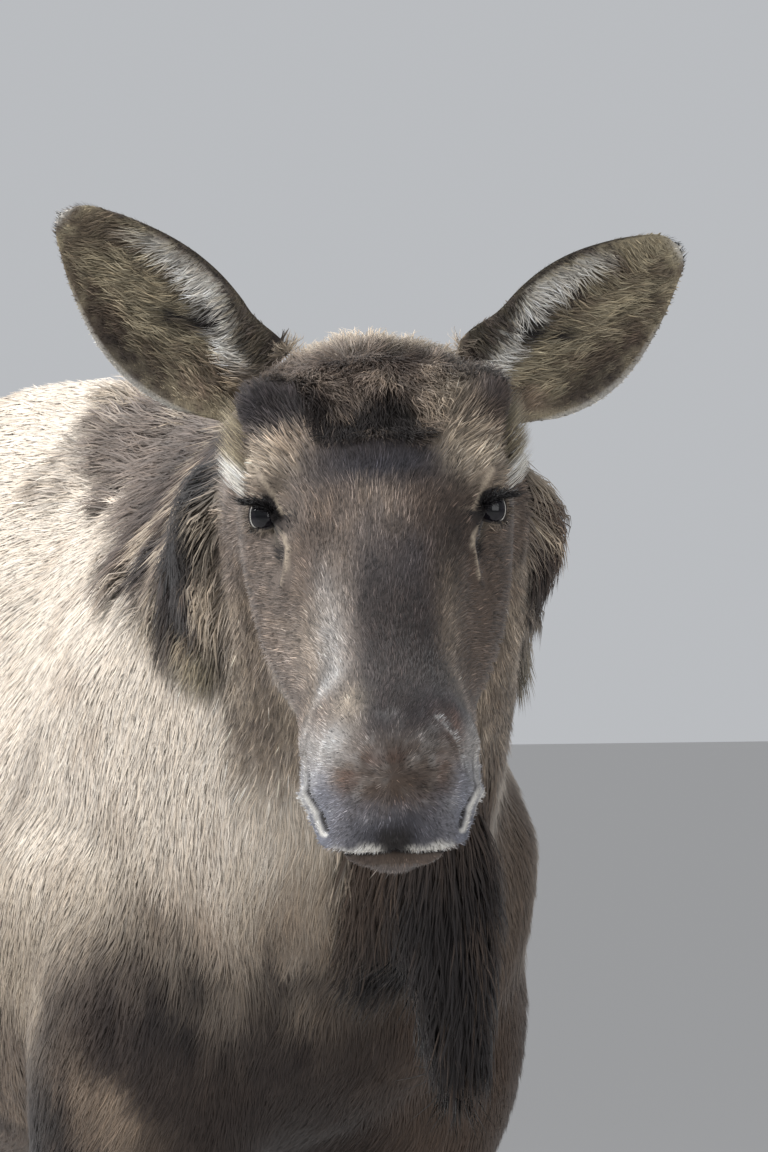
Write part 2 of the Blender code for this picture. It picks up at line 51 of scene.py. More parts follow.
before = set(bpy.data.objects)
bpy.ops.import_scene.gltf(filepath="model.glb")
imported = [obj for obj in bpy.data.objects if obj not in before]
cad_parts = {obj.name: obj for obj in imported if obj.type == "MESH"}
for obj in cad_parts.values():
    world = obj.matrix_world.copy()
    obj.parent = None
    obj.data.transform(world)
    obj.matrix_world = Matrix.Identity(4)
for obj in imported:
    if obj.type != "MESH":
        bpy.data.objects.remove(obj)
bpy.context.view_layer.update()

HARD_PARTS = ("eye", "antler", "hoof", "dewclaw")
FLESH = [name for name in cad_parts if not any(part in name for part in HARD_PARTS)]


# ---- places and sizes, all in metres ----
def centre_of(node):
    low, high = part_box(node)
    return (low + high) / 2


HEAD_ORIGIN = (centre_of("eye_left") + centre_of("eye_right")) / 2
BODY_ORIGIN = HEAD_ORIGIN - Vector((-0.2, -0.8, 1.745))
HEAD_TURN = math.radians(28.5)  # towards the animal's right
HEAD_DROP = math.radians(45.0)  # muzzle below the level
HEAD_TILT = math.radians(1.7)  # left eye higher

SIDES = {"left": 1, "right": -1}
BOTH = tuple(SIDES.values())

EYE_SIDE = 0.1135
EYE_RADIUS = 0.02
EAR_LENGTH = 0.275
# Outline of an ear: share of its length, reach towards the crown and towards the cheek.
EAR_OUTLINE = (
    (0.0, 0.04, 0.052),
    (0.12, 0.054, 0.068),
    (0.3, 0.067, 0.082),
    (0.46, 0.071, 0.084),
    (0.62, 0.066, 0.074),
    (0.79, 0.052, 0.053),
    (0.92, 0.036, 0.031),
    (0.95, 0.031, 0.026),
    (0.975, 0.024, 0.02),
    (0.992, 0.014, 0.01),
    (1.0, 0.005, 0.004),
)
HIND_SETBACK = 1.215
FORE_SETBACK = -0.18
HOOF_TOP = 0.1
AROUND = 32
VOXEL = 0.01

# Trunk stations: set back, back line, underline, half width, height of the widest point.
TRUNK = (
    (-0.485, 1.52, 1.22, 0.14, 1.37),
    (-0.45, 1.62, 1.15, 0.206, 1.39),
    (-0.37, 1.735, 1.09, 0.254, 1.39),
    (-0.25, 1.822, 1.05, 0.27, 1.38),
    (-0.11, 1.88, 1.028, 0.274, 1.36),
    (0.04, 1.906, 1.018, 0.278, 1.34),
    (0.2, 1.914, 1.012, 0.286, 1.34),
    (0.4, 1.898, 1.015, 0.296, 1.34),
    (0.61, 1.842, 1.042, 0.298, 1.34),
    (0.82, 1.782, 1.09, 0.28, 1.36),
    (1.02, 1.742, 1.135, 0.258, 1.39),
    (1.2, 1.692, 1.175, 0.236, 1.4),
    (1.33, 1.605, 1.205, 0.19, 1.38),
    (1.405, 1.49, 1.25, 0.11, 1.36),
)

# Neck stations: centre x, y, z, half width, rise to the crest, drop to the throat.
NECK = (
    (0.0, 0.08, 1.45, 0.235, 0.37, 0.36),
    (-0.01, -0.14, 1.51, 0.245, 0.37, 0.38),
    (-0.035, -0.31, 1.575, 0.242, 0.31, 0.39),
    (-0.066, -0.445, 1.64, 0.212, 0.255, 0.35),
    (-0.096, -0.56, 1.7, 0.202, 0.205, 0.245),
    (-0.12, -0.645, 1.75, 0.216, 0.16, 0.165),
    (-0.145, -0.71, 1.772, 0.165, 0.11, 0.12),
)

# Head stations from poll to nose: forward, top, half width near the top, greatest half width
# and its rise, half width low down and its rise, underside.
HEAD = (
    (-0.22, 0.028, 0.048, 0.074, -0.035, 0.052, -0.085, -0.11),
    (-0.175, 0.084, 0.08, 0.11, -0.02, 0.092, -0.12, -0.165),
    (-0.118, 0.1, 0.096, 0.132, 0.005, 0.114, -0.13, -0.2),
    (-0.06, 0.086, 0.098, 0.138, 0.012, 0.124, -0.13, -0.21),
    (-0.015, 0.066, 0.088, 0.13, 0.014, 0.129, -0.11, -0.21),
    (0.035, 0.052, 0.076, 0.112, -0.008, 0.13, -0.095, -0.2),
    (0.095, 0.043, 0.066, 0.097, -0.018, 0.124, -0.09, -0.175),
    (0.155, 0.039, 0.058, 0.085, -0.022, 0.108, -0.086, -0.148),
    (0.215, 0.041, 0.052, 0.078, -0.026, 0.09, -0.08, -0.125),
    (0.265, 0.052, 0.056, 0.084, -0.026, 0.085, -0.074, -0.108),
    (0.315, 0.062, 0.062, 0.09, -0.026, 0.085, -0.07, -0.1),
    (0.36, 0.058, 0.059, 0.083, -0.026, 0.076, -0.066, -0.093),
    (0.395, 0.042, 0.051, 0.071, -0.028, 0.065, -0.064, -0.089),
    (0.42, 0.015, 0.038, 0.057, -0.034, 0.051, -0.062, -0.083),
    (0.434, -0.014, 0.022, 0.04, -0.044, 0.038, -0.058, -0.074),
)

# Lower jaw stations: forward, top, half width, underside.
JAW = (
    (-0.105, -0.12, 0.085, -0.225),
    (-0.05, -0.1, 0.11, -0.256),
    (0.015, -0.085, 0.119, -0.25),
    (0.08, -0.08, 0.11, -0.222),
    (0.15, -0.078, 0.088, -0.186),
    (0.22, -0.078, 0.064, -0.156),
    (0.29, -0.08, 0.049, -0.138),
    (0.345, -0.082, 0.046, -0.132),
    (0.376, -0.086, 0.039, -0.124),
    (0.39, -0.094, 0.024, -0.113),
)

# Leg stations: height, set back from the cannon, half width across, half depth fore and aft.
FORELEG = (
    (1.42, -0.03, 0.095, 0.15),
    (1.28, -0.06, 0.124, 0.185),
    (1.14, -0.05, 0.13, 0.178),
    (1.03, -0.02, 0.114, 0.146),
    (0.91, -0.006, 0.078, 0.098),
    (0.78, 0.0, 0.058, 0.069),
    (0.67, -0.004, 0.048, 0.054),
    (0.59, -0.01, 0.051, 0.057),
    (0.52, -0.006, 0.042, 0.047),
    (0.44, 0.0, 0.034, 0.041),
    (0.33, 0.002, 0.032, 0.038),
    (0.25, 0.002, 0.034, 0.041),
    (0.195, 0.0, 0.04, 0.047),
    (0.145, -0.018, 0.036, 0.04),
    (0.085, -0.036, 0.044, 0.045),
)
HINDLEG = (
    (1.6, -0.165, 0.02, 0.06),
    (1.52, -0.16, 0.066, 0.15),
    (1.42, -0.155, 0.112, 0.225),
    (1.26, -0.16, 0.126, 0.222),
    (1.12, -0.165, 0.106, 0.182),
    (1.0, -0.13, 0.082, 0.136),
    (0.9, -0.07, 0.064, 0.1),
    (0.8, -0.006, 0.052, 0.074),
    (0.715, 0.04, 0.047, 0.068),
    (0.63, 0.036, 0.042, 0.056),
    (0.54, 0.018, 0.035, 0.046),
    (0.4, 0.006, 0.033, 0.042),
    (0.27, 0.002, 0.035, 0.043),
    (0.2, 0.0, 0.041, 0.048),
    (0.148, -0.02, 0.036, 0.04),
    (0.085, -0.04, 0.044, 0.045),
)

# Each leg: name, side, stride ahead of its neutral place, spread of shoulder or hip, of hoof.
LEGS = (
    ("foreleg_left", 1, 0.055, 0.15, 0.135),
    ("foreleg_right", -1, -0.01, 0.15, 0.135),
    ("hindleg_left", 1, -0.06, 0.14, 0.13),
    ("hindleg_right", -1, 0.075, 0.14, 0.13),
)

# Bell stations below the throat: height, y, half width, half depth.
BELL = (
    (1.56, -0.57, 0.066, 0.075),
    (1.46, -0.612, 0.07, 0.072),
    (1.37, -0.632, 0.064, 0.062),
    (1.29, -0.638, 0.052, 0.05),
    (1.22, -0.638, 0.035, 0.036),
    (1.17, -0.636, 0.015, 0.016),
)
BELL_X = -0.045
BELL_LEAN = 0.12

# Tail stations: height, y, half width, half depth.
TAIL = (
    (1.59, 1.31, 0.05, 0.05),
    (1.53, 1.395, 0.044, 0.04),
    (1.47, 1.455, 0.038, 0.03),
    (1.415, 1.48, 0.031, 0.023),
    (1.36, 1.484, 0.014, 0.012),
)

# What the coat is like in each part of the body: depth over the skin, length and width of a
# tuft, tufts in each square metre.
COAT = {
    "trunk": (0.013, 0.042, 0.0054, 21000),
    "shoulder": (0.012, 0.034, 0.0026, 63000),
    "mane": (0.022, 0.056, 0.0029, 60000),
    "upper_leg": (0.011, 0.032, 0.0044, 30000),
    "lower_leg": (0.006, 0.018, 0.0032, 40000),
    "foot": (0.005, 0.012, 0.0026, 60000),
    "bell": (0.02, 0.09, 0.0036, 70000),
    "tail": (0.01, 0.04, 0.0044, 40000),
    "face": (0.0034, 0.0118, 0.0016, 135000),
    "brow": (0.007, 0.021, 0.0019, 120000),
    "muzzle": (0.002, 0.0086, 0.0013, 230000),
    "crown": (0.014, 0.022, 0.0016, 230000),
    "jaw": (0.005, 0.017, 0.0021, 80000),
    "ear": (0.003, 0.012, 0.0017, 110000),
}
COAT_ROWS = np.array(list(COAT.values()))
COLUMN = {name: number for number, name in enumerate(COAT)}
HEAD_COLUMNS = [COLUMN[name] for name in ("face", "brow", "muzzle", "crown", "jaw", "ear")]

# Front edge of the mane on the side of the neck: height, set back.
MANE_EDGE = (
    (1.55, -0.75),
    (1.585, -0.57),
    (1.625, -0.46),
    (1.665, -0.36),
    (1.71, -0.23),
    (1.786, -0.04),
    (1.88, 0.06),
    (1.95, 0.08),
)

# Lie of the coat on the body: place, reach of its hold, way it points. Mirrored for -x.
BODY_LIE = (
    ((0.05, 0.2, 1.91), 0.3, (0.15, 1.0, -0.1)),
    ((0.05, 0.9, 1.77), 0.3, (0.2, 1.0, -0.2)),
    ((0.1, 1.3, 1.6), 0.2, (0.2, 0.5, -0.8)),
    ((0.28, 0.1, 1.5), 0.25, (0.0, 0.45, -0.9)),
    ((0.27, -0.05, 1.2), 0.2, (0.0, 0.3, -0.95)),
    ((0.3, 0.55, 1.4), 0.3, (0.0, 0.8, -0.6)),
    ((0.2, 0.55, 1.08), 0.3, (0.0, 0.85, -0.5)),
    ((0.0, 0.5, 1.03), 0.3, (0.0, 1.0, -0.1)),
    ((0.27, 1.0, 1.4), 0.25, (0.0, 0.45, -0.9)),
    ((0.2, 1.25, 1.3), 0.25, (0.0, 0.1, -1.0)),
    ((0.18, -0.35, 1.75), 0.15, (0.3, 0.45, -0.85)),
    ((0.2, -0.3, 1.5), 0.2, (0.1, 0.3, -0.95)),
    ((0.05, -0.3, 1.9), 0.15, (0.5, 0.8, -0.2)),
    ((0.05, -0.5, 1.85), 0.12, (0.6, 0.6, -0.3)),
    ((0.0, -0.5, 1.35), 0.15, (0.0, 0.1, -1.0)),
    ((0.12, -0.42, 1.25), 0.15, (0.1, 0.15, -1.0)),
    ((0.0, -0.3, 1.05), 0.2, (0.0, 0.8, -0.4)),
    ((0.2, -0.6, 1.65), 0.12, (0.25, 0.25, -1.0)),
    ((0.0, -0.62, 1.5), 0.1, (0.0, 0.0, -1.0)),
    ((0.14, -0.18, 0.6), 0.4, (0.0, 0.08, -1.0)),
    ((0.14, 1.2, 0.6), 0.4, (0.0, 0.12, -1.0)),
    ((0.0, 1.48, 1.45), 0.1, (0.0, 0.3, -1.0)),
)

# The same on the head, in its own axes: sideways, noseward, crownward.
HEAD_LIE = (
    ((0.0, 0.15, 0.04), 0.08, (0.0, -1.0, 0.05)),
    ((0.05, 0.2, 0.03), 0.06, (0.2, -1.0, -0.1)),
    ((0.0, 0.0, 0.06), 0.05, (0.0, -1.0, 0.1)),
    ((0.05, -0.01, 0.06), 0.04, (0.35, -0.95, 0.1)),
    ((0.1, -0.03, 0.045), 0.03, (0.8, -0.6, 0.3)),
    ((0.0, -0.14, 0.1), 0.05, (0.0, -1.0, 0.1)),
    ((0.09, 0.12, -0.07), 0.08, (0.1, -0.55, -0.75)),
    ((0.12, 0.02, -0.06), 0.06, (0.1, -0.5, -0.85)),
    ((0.13, -0.07, 0.0), 0.05, (0.1, -0.8, -0.4)),
    ((0.09, 0.02, -0.2), 0.08, (0.0, 0.1, -1.0)),
    ((0.0, 0.1, -0.2), 0.1, (0.0, 0.0, -1.0)),
    ((0.12, -0.12, 0.03), 0.05, (0.5, -0.6, 0.3)),
    ((0.0, 0.37, -0.12), 0.04, (0.0, -0.4, -1.0)),
    ((0.04, 0.33, -0.11), 0.04, (0.1, -0.8, -0.6)),
    ((0.085, 0.29, -0.05), 0.05, (0.1, -0.8, -0.4)),
)
MUZZLE_WHORL = (0.0, 0.4, 0.034)  # the hair of the muzzle points away from here

# Lines on the left of the head, in its own axes, laid on its surface before sculpting.
PATHS = {
    "nostril": (
        (0.088, 0.322, -0.022), (0.084, 0.35, -0.032), (0.073, 0.378, -0.04),
        (0.068, 0.39, -0.043),
    ),
    "mouth": (
        (0.0, 0.427, -0.0435), (0.03, 0.421, -0.0455), (0.047, 0.406, -0.056),
        (0.056, 0.38, -0.072), (0.066, 0.32, -0.088), (0.076, 0.23, -0.097),
    ),
    "temple": ((0.139, -0.04, 0.012), (0.15, -0.08, 0.018), (0.166, -0.115, 0.014)),
    "rim": (
        (0.081, 0.346, -0.046), (0.078, 0.356, -0.05), (0.072, 0.37, -0.055),
        (0.063, 0.39, -0.058), (0.056, 0.403, -0.057), (0.046, 0.413, -0.053),
    ),
    "tear_duct": (
        (0.104, 0.022, 0.004), (0.101, 0.038, 0.002), (0.099, 0.052, 0.001),
        (0.099, 0.064, -0.003),
    ),
    "tear_line": (
        (0.11, -0.014, 0.038), (0.106, 0.012, 0.028), (0.1, 0.032, 0.021),
        (0.095, 0.048, 0.016), (0.0925, 0.062, 0.011), (0.095, 0.072, 0.0),
        (0.099, 0.084, -0.012),
    ),
    "crease": ((0.046, 0.338, 0.055), (0.066, 0.354, 0.034), (0.078, 0.366, 0.01)),
    "notch": ((0.0, 0.433, -0.043), (0.0, 0.436, -0.026)),
}

# Markings of the chest: tone, place across, height, half width, half height, share, lean.
CHEST_MARKS = (
    # Pale streak down the front of the chest, brightened with painted light where the chest turns from the
    # lamps.
    ("cream", 0.039, 1.483, 0.044, 0.118, 0.9, 0.0),
    ("oat", 0.094, 1.441, 0.029, 0.096, 0.8, 0.0),
    ("tan", 0.05, 1.334, 0.033, 0.064, 0.7, 0.0),
    ("tan", 0.133, 1.334, 0.029, 0.053, 0.5, 0.0),
    ("tan", 0.183, 1.291, 0.016, 0.064, 0.6, 0.0),
    ("dark", 0.0, 1.216, 0.075, 0.085, 1.1, -0.5),
    ("dark", 0.133, 1.184, 0.07, 0.09, 1.0, 0.0),
    ("brown", -0.011, 1.328, 0.033, 0.043, 0.5, 0.0),
    # Painted shade in the elbow's crease.
    ("dark", -0.1, 1.227, 0.033, 0.048, 0.6, 0.0),
    ("oat", -0.161, 1.248, 0.033, 0.064, 0.7, 0.0),
    # Painted shadow in the gap between the elbow and the ribs.
    ("black_brown", -0.127, 1.114, 0.016, 0.064, 0.8, 0.0),
    ("tan", -0.178, 1.109, 0.024, 0.075, 0.6, 0.0),
    # Painted light on the front of the forearm.
    ("tan", -0.056, 1.109, 0.038, 0.064, 0.55, -0.5),
    ("brown", 0.078, 1.548, 0.018, 0.086, 0.45, 0.0),
    ("dark", 0.122, 1.269, 0.016, 0.075, 0.6, 0.0),
    # Brown on the neck's side turned from the light: partly brown hair, partly painted shade.
    ("brown", 0.372, 1.441, 0.022, 0.128, 0.5, 0.0),
    # More cream on the chest front: pale hair, brightened with painted light.
    ("cream", 0.064, 1.46, 0.03, 0.1, 1.0, 0.0),
    ("cream", 0.112, 1.46, 0.03, 0.08, 0.75, 0.0),
    ("black_brown", 0.022, 1.23, 0.045, 0.055, 0.7, 0.0),
    ("dark", 0.145, 1.215, 0.06, 0.06, 0.5, 0.0),
)

# Markings of the mane: tone, place, reach and share.
MANE_MARKS = (
    ("black_brown", (-0.285, -0.54, 1.765), (0.1, 0.15, 0.065), 2.2),
    ("black_brown", (-0.3, -0.6, 1.735), (0.08, 0.06, 0.06), 0.9),
    ("oat", (-0.297, -0.65, 1.75), (0.05, 0.026, 0.085), 2.2),
)


# ---- the head's own axes ----
def head_turning():
    turn = Matrix.Rotation(-HEAD_TURN, 3, "Z")
    tilt = Matrix.Rotation(-HEAD_TILT, 3, "Y")
    return turn @ tilt @ Matrix.Rotation(HEAD_DROP, 3, "X")


HEAD_AXES = head_turning()
LEFTWARD = HEAD_AXES @ Vector((1, 0, 0))
NOSEWARD = HEAD_AXES @ Vector((0, -1, 0))
CROWNWARD = HEAD_AXES @ Vector((0, 0, 1))
HEADING = Vector((-math.sin(HEAD_TURN), -math.cos(HEAD_TURN), 0))
UP = Vector((0, 0, 1))
HEAD_BASIS = np.array([LEFTWARD, NOSEWARD, CROWNWARD])


def in_head(side, forward, rise):
    return HEAD_ORIGIN + LEFTWARD * side + NOSEWARD * forward + CROWNWARD * rise


def to_head(points):
    """Points in the head's axes: sideways, noseward, crownward."""
    return (points - np.array(HEAD_ORIGIN)) @ HEAD_BASIS.T


def folded(head):
    """Places on the head, those on its right turned over to its left."""
    return np.column_stack([np.abs(head[:, 0]), head[:, 1:]])


def from_head(points):
    return np.array(HEAD_ORIGIN) + points @ HEAD_BASIS


def to_body(points):
    return points - np.array(BODY_ORIGIN)


def ear_frame(side):
    """Root, direction of growth and direction in which the ear opens."""
    across = LEFTWARD * side
    root = in_head(side * 0.116, -0.15, 0.026)
    lift = math.radians(34.0 if side > 0 else 43.0)
    set_back = -0.4 if side > 0 else 0.05
    along = (across * math.cos(lift) + UP * math.sin(lift) + HEADING * set_back).normalized()
    opening = (HEADING * 0.97 + across * 0.1 - UP * 0.16).normalized()
    opening = (opening - along * opening.dot(along)).normalized()
    return root, along, opening


def ear_across(side):
    """Way across an ear from the crown to the cheek, as numbers."""
    _, along, opening = ear_frame(side)
    across = np.array(along.cross(opening).normalized())
    return across * np.sign(across @ np.array(LEFTWARD) * side)


def ear_reach(share, cheekward):
    """Width of an ear from its middle line to one of its edges."""
    shares, crownward, outward = EAR_CURVE.T
    return np.interp(share, shares, outward if cheekward else crownward)


# ---- small mathematics ----
def ramp(low, high, x):
    """0 at low and before, 1 at high and beyond, eased between. low may be the greater."""
    t = np.clip((x - low) / (high - low), 0.0, 1.0)
    return t * t * (3 - 2 * t)


def band(middle, reach, x):
    """1 at the middle, fading to 0 at its reach on both sides."""
    return ramp(reach, 0.0, np.abs(x - middle))


def unit(vectors):
    return vectors / np.maximum(np.linalg.norm(vectors, axis=-1, keepdims=True), 1e-9)


def distance_to(points, spots):
    """Distance from the nearest of the spots."""
    return np.min([np.linalg.norm(points - np.array(spot), axis=1) for spot in spots], axis=0)


def along_skin(ways, normals):
    """The ways with what points out of the skin taken off."""
    return unit(ways - normals * (ways * normals).sum(axis=1)[:, None])


def mirrored(sideways, side, *others):
    """The way (side, *others) at each point, turned over where sideways is negative."""
    others = [np.full(len(sideways), other) for other in others]
    return np.stack([np.sign(sideways) * side, *others], axis=1)


def mixed(first, second, share):
    """first where share is 0 and second where it is 1, for rows of numbers."""
    share = share[:, None]
    return first * (1 - share) + second * share


def cloud(points, size, seed=0):
    """Smooth noise from -1 to 1 whose features are about this size."""
    spot = points / size + seed * 17.31
    cell = np.floor(spot).astype(np.int64)
    part = spot - cell
    part = part * part * (3 - 2 * part)
    total = np.zeros(len(points))
    for corner in range(8):
        step = np.array([(corner >> axis) & 1 for axis in range(3)])
        place = cell + step
        mixed_up = place[:, 0] * 73856093 ^ place[:, 1] * 19349663 ^ place[:, 2] * 83492791
        mixed_up = ((mixed_up ^ (mixed_up >> 13)) * 1274126177) & 0x7FFFFFFF
        weight = np.prod(np.where(step == 1, part, 1 - part), axis=1)
        total += (mixed_up / 0x3FFFFFFF - 1) * weight
    return total


def swirls(points, size, seed):
    """Three independent clouds as columns."""
    return np.stack([cloud(points, size, seed + k) for k in range(3)], axis=1)


def linear(red, green, blue):
    """A colour in scene-linear numbers from its usual 0 to 255 ones."""
    shares = (red / 255, green / 255, blue / 255)
    return tuple(s / 12.92 if s < 0.04045 else ((s + 0.055) / 1.055) ** 2.4 for s in shares)


def smooth_rows(rows, steps):
    """Rows of numbers, with this many steps to each span of a Catmull-Rom curve through them."""
    known = np.array(rows, float)
    ends = (2 * known[0] - known[1], 2 * known[-1] - known[-2])
    padded = np.vstack([ends[0], known, ends[1]])
    made = []
    for i in range(len(known) - 1):
        a, b, c, d = padded[i : i + 4]
        for k in range(steps):
            t = k / steps
            bend = (2 * a - 5 * b + 4 * c - d) * t * t + (3 * b - a - 3 * c + d) * t**3
            made.append(0.5 * (2 * b + (c - a) * t + bend))
    made.append(known[-1])
    return made


EAR_CURVE = np.array(smooth_rows(EAR_OUTLINE, 5))


def smooth_loop(corners, steps):
    """A closed Catmull-Rom curve through the corners, as points."""
    wrapped = [corners[-1], *corners, corners[0], corners[1]]
    curve = smooth_rows([tuple(corner) for corner in wrapped], steps)
    return curve[steps : steps * (len(corners) + 1)]


# ---- sizes and colours a user may change ----
def tone(name, description, red, green, blue):
    """A colour property, its default given in the usual 0 to 255 numbers."""
    look = {"default": linear(red, green, blue), "min": 0.0, "max": 1.0, "subtype": "COLOR"}
    return FloatVectorProperty(name=name, description=description, **look)


def metres(name, description, default):
    """A length property."""
    return FloatProperty(name=name, description=description, default=default, unit="LENGTH")


def factor(name, description, low, high):
    """A property that multiplies a natural value."""
    limits = {"default": 1.0, "min": low, "max": high}
    return FloatProperty(name=name, description=description, subtype="FACTOR", **limits)


class MooseSizes(PropertyGroup):
    """Sizes of the coat and of the small pieces."""

    hair_length: factor("Hair length", "Length of every tuft beside its natural one", 0.5, 1.5)
    fullness: factor("Fullness", "Number of tufts beside their natural number", 0.2, 1.2)
    ear_hair: metres("Ear hair", "Length of the hair inside the ears", 0.024)
    lash: metres("Lashes", "Length of the longest upper eyelashes", 0.025)
    toe_length: metres("Toe length", "Length of a hoof's sole from heel to tip", 0.158)
    toe_width: metres("Toe width", "Greatest width of a hoof's sole", 0.053)


class MooseColours(PropertyGroup):
    """Tones of coat, skin, horn and eye."""

    # White also holds painted rim light on the ears' edges and a painted highlight on the lower lids of the
    # eyes.
    white: tone("White", "Rims of lips and ears", 226, 222, 214)
    silver: tone("Silver", "Frosted hair of the muzzle", 184, 182, 180)
    # Cream is the pale coat of withers and shoulders with painted sunlight in it.
    cream: tone("Cream", "Withers and shoulders", 221, 209, 194)
    oat: tone("Oat", "Pale parts of neck and flanks", 190, 175, 155)
    tan: tone("Tan", "Warm streaks of neck, crown and face", 158, 139, 120)
    khaki: tone("Khaki", "Hair inside the ears", 150, 139, 116)
    rust: tone("Rust", "Spots of the muzzle", 92, 66, 54)
    grey_brown: tone("Grey brown", "Ground tone of face and flanks", 114, 103, 95)
    brown: tone("Brown", "Rump, upper legs and backs of the ears", 84, 70, 60)
    dark: tone("Dark", "Mane and brisket", 48, 40, 37)
    black_brown: tone("Black brown", "Bell, lids and hollows", 32, 28, 28)
    slate: tone("Slate", "Bridge of the nose and forehead", 52, 51, 57)
    lavender: tone("Lavender", "Sides of the muzzle", 112, 114, 124)
    leg: tone("Leg", "Lower legs", 156, 148, 138)
    horn_dark: tone("Dark horn", "Ground tone of the hooves", 26, 23, 22)
    horn_pale: tone("Pale horn", "Streaks of the hooves", 74, 64, 56)
    iris: tone("Iris", "Ring round the pupil", 24, 22, 28)
    pupil: tone("Pupil", "Pupil, faintly blue", 6, 7, 12)


def sizes():
    return bpy.context.scene.moose_sizes


def tone_of(name):
    return np.array(getattr(bpy.context.scene.moose_colours, name))


def shader_colour(name):
    return (*tone_of(name), 1.0)


# ---- mesh helpers ----
def mesh_from(bm, name):
    """Keeps the worked mesh under this name."""
    mesh = bpy.data.meshes.new(name)
    bm.to_mesh(mesh)
    bm.free()
    return mesh


def mesh_of_rings(name, rings):
    """A closed mesh through rings of equally many points, with a flat cap at each end."""
    bm = bmesh.new()
    loops = [[bm.verts.new(point) for point in ring] for ring in rings]
    for low, high in zip(loops, loops[1:]):
        for i in range(len(low)):
            j = (i + 1) % len(low)
            bm.faces.new((low[i], low[j], high[j], high[i]))
    bm.faces.new(tuple(reversed(loops[0])))
    bm.faces.new(tuple(loops[-1]))
    bmesh.ops.recalc_face_normals(bm, faces=bm.faces)
    return mesh_from(bm, name)


def oval(centre, side, up, half_width, rise, drop, narrowing=0.0):
    """Points of an oval, full below, whose upper half is narrowed towards its top."""
    ring = []
    for i in range(AROUND):
        angle = math.tau * i / AROUND
        height = math.sin(angle)
        fullness = 1.0 if height > 0 else 0.82
        width = math.copysign(abs(math.cos(angle)) ** fullness, math.cos(angle))
        width *= half_width * (1 - narrowing * max(height, 0.0))
        ring.append(centre + side * width + up * height * (rise if height > 0 else drop))
    return ring


def add_object(name, mesh):
    obj = bpy.data.objects.new(name, mesh)
    bpy.context.scene.collection.objects.link(obj)
    return obj


def applied(obj):
    """Freezes the object's modifiers into its mesh."""
    graph = bpy.context.evaluated_depsgraph_get()
    mesh = bpy.data.meshes.new_from_object(obj.evaluated_get(graph))
    obj.modifiers.clear()
    obj.data = mesh
    return obj


def rows_of(items, field, width, kind=np.int32):
    """One field of all items of a mesh, as rows of this width."""
    flat = np.empty(len(items) * width, kind)
    items.foreach_get(field, flat)
    return flat.reshape(-1, width)


def points_of(mesh):
    return rows_of(mesh.vertices, "co", 3, np.float32).astype(float)


def normals_of(mesh):
    return rows_of(mesh.vertex_normals, "vector", 3, np.float32).astype(float)


def corners_of(mesh):
    """The three vertices of each triangle."""
    mesh.calc_loop_triangles()
    return rows_of(mesh.loop_triangles, "vertices", 3)


def search_tree(mesh):
    return BVHTree.FromPolygons(points_of(mesh).tolist(), corners_of(mesh).tolist())


def put_points(mesh, points):
    mesh.vertices.foreach_set("co", points.astype(np.float32).ravel())
    mesh.update()


def relaxed(values, mesh, hold, rounds):
    """Values at the vertices, each drawn to its neighbours' mean by its hold, some rounds."""
    edges = rows_of(mesh.edges, "vertices", 2)
    ends = np.concatenate([edges[:, 0], edges[:, 1]])
    others = np.concatenate([edges[:, 1], edges[:, 0]])
    count = np.maximum(np.bincount(ends, minlength=len(values)), 1)
    values = values.reshape(len(values), -1).copy()
    for _ in range(rounds):
        for column in values.T:
            mean = np.bincount(ends, column[others], minlength=len(values)) / count
            column += (mean - column) * hold
    return values


def paint_mesh(mesh, name, colours):
    """Keeps a colour for each vertex as a named attribute."""
    layer = mesh.color_attributes.new(name, "FLOAT_COLOR", "POINT")
    rgba = np.ones((len(colours), 4), np.float32)
    rgba[:, :3] = colours
    layer.data.foreach_set("color", rgba.ravel())


def finish_piece(obj, material, slot, nodes=()):
    """Gives a piece its material and the body it rides on, and hides the nodes it replaces. Its slot is not
    used.
    """
    obj.data.materials.clear()
    obj.data.materials.append(material)
    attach(obj, "root")
    if nodes:
        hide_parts(*nodes)
    return obj


# ---- lofts of the body ----
def trunk_mesh():
    rings = []
    for set_back, top, bottom, half_width, middle in smooth_rows(TRUNK, 3):
        centre = BODY_ORIGIN + Vector((0, set_back, middle))
        side = Vector((1, 0, 0))
        heights = top - middle, middle - bottom
        rings.append(oval(centre, side, UP, half_width, *heights, narrowing=0.42))
    return mesh_of_rings("trunk_loft", rings)


def neck_mesh():
    rows = smooth_rows(NECK, 4)
    rings = []
    for i, (x, y, z, half_width, rise, drop) in enumerate(rows):
        before, after = rows[max(i - 1, 0)], rows[min(i + 1, len(rows) - 1)]
        along = Vector(after[:3] - before[:3]).normalized()
        side = along.cross(UP).normalized()
        up = side.cross(along)
        centre = BODY_ORIGIN + Vector((x, y, z))
        rings.append(oval(centre, side, up, half_width, rise, drop, narrowing=0.35))
    return mesh_of_rings("neck_loft", rings)


def head_mesh():
    rings = []
    for forward, top, w_top, w_mid, n_mid, w_low, n_low, bottom in smooth_rows(HEAD, 4):
        brow = top - 0.22 * (top - n_mid)
        right = [(-w_top, brow), (-w_mid, n_mid), (-w_low, n_low)]
        left = [(-side, rise) for side, rise in reversed(right)]
        outline = smooth_loop([(0, top), *right, (0, bottom), *left], AROUND // 8)
        rings.append([in_head(side, forward, rise) for side, rise in outline])
    return mesh_of_rings("head_loft", rings)


def jaw_mesh():
    rings = []
    for forward, top, half_width, bottom in smooth_rows(JAW, 4):
        middle, half = (top + bottom) / 2, (top - bottom) / 2
        centre = in_head(0, forward, middle)
        rings.append(oval(centre, LEFTWARD, CROWNWARD, half_width, half, half))
    return mesh_of_rings("jaw_loft", rings)


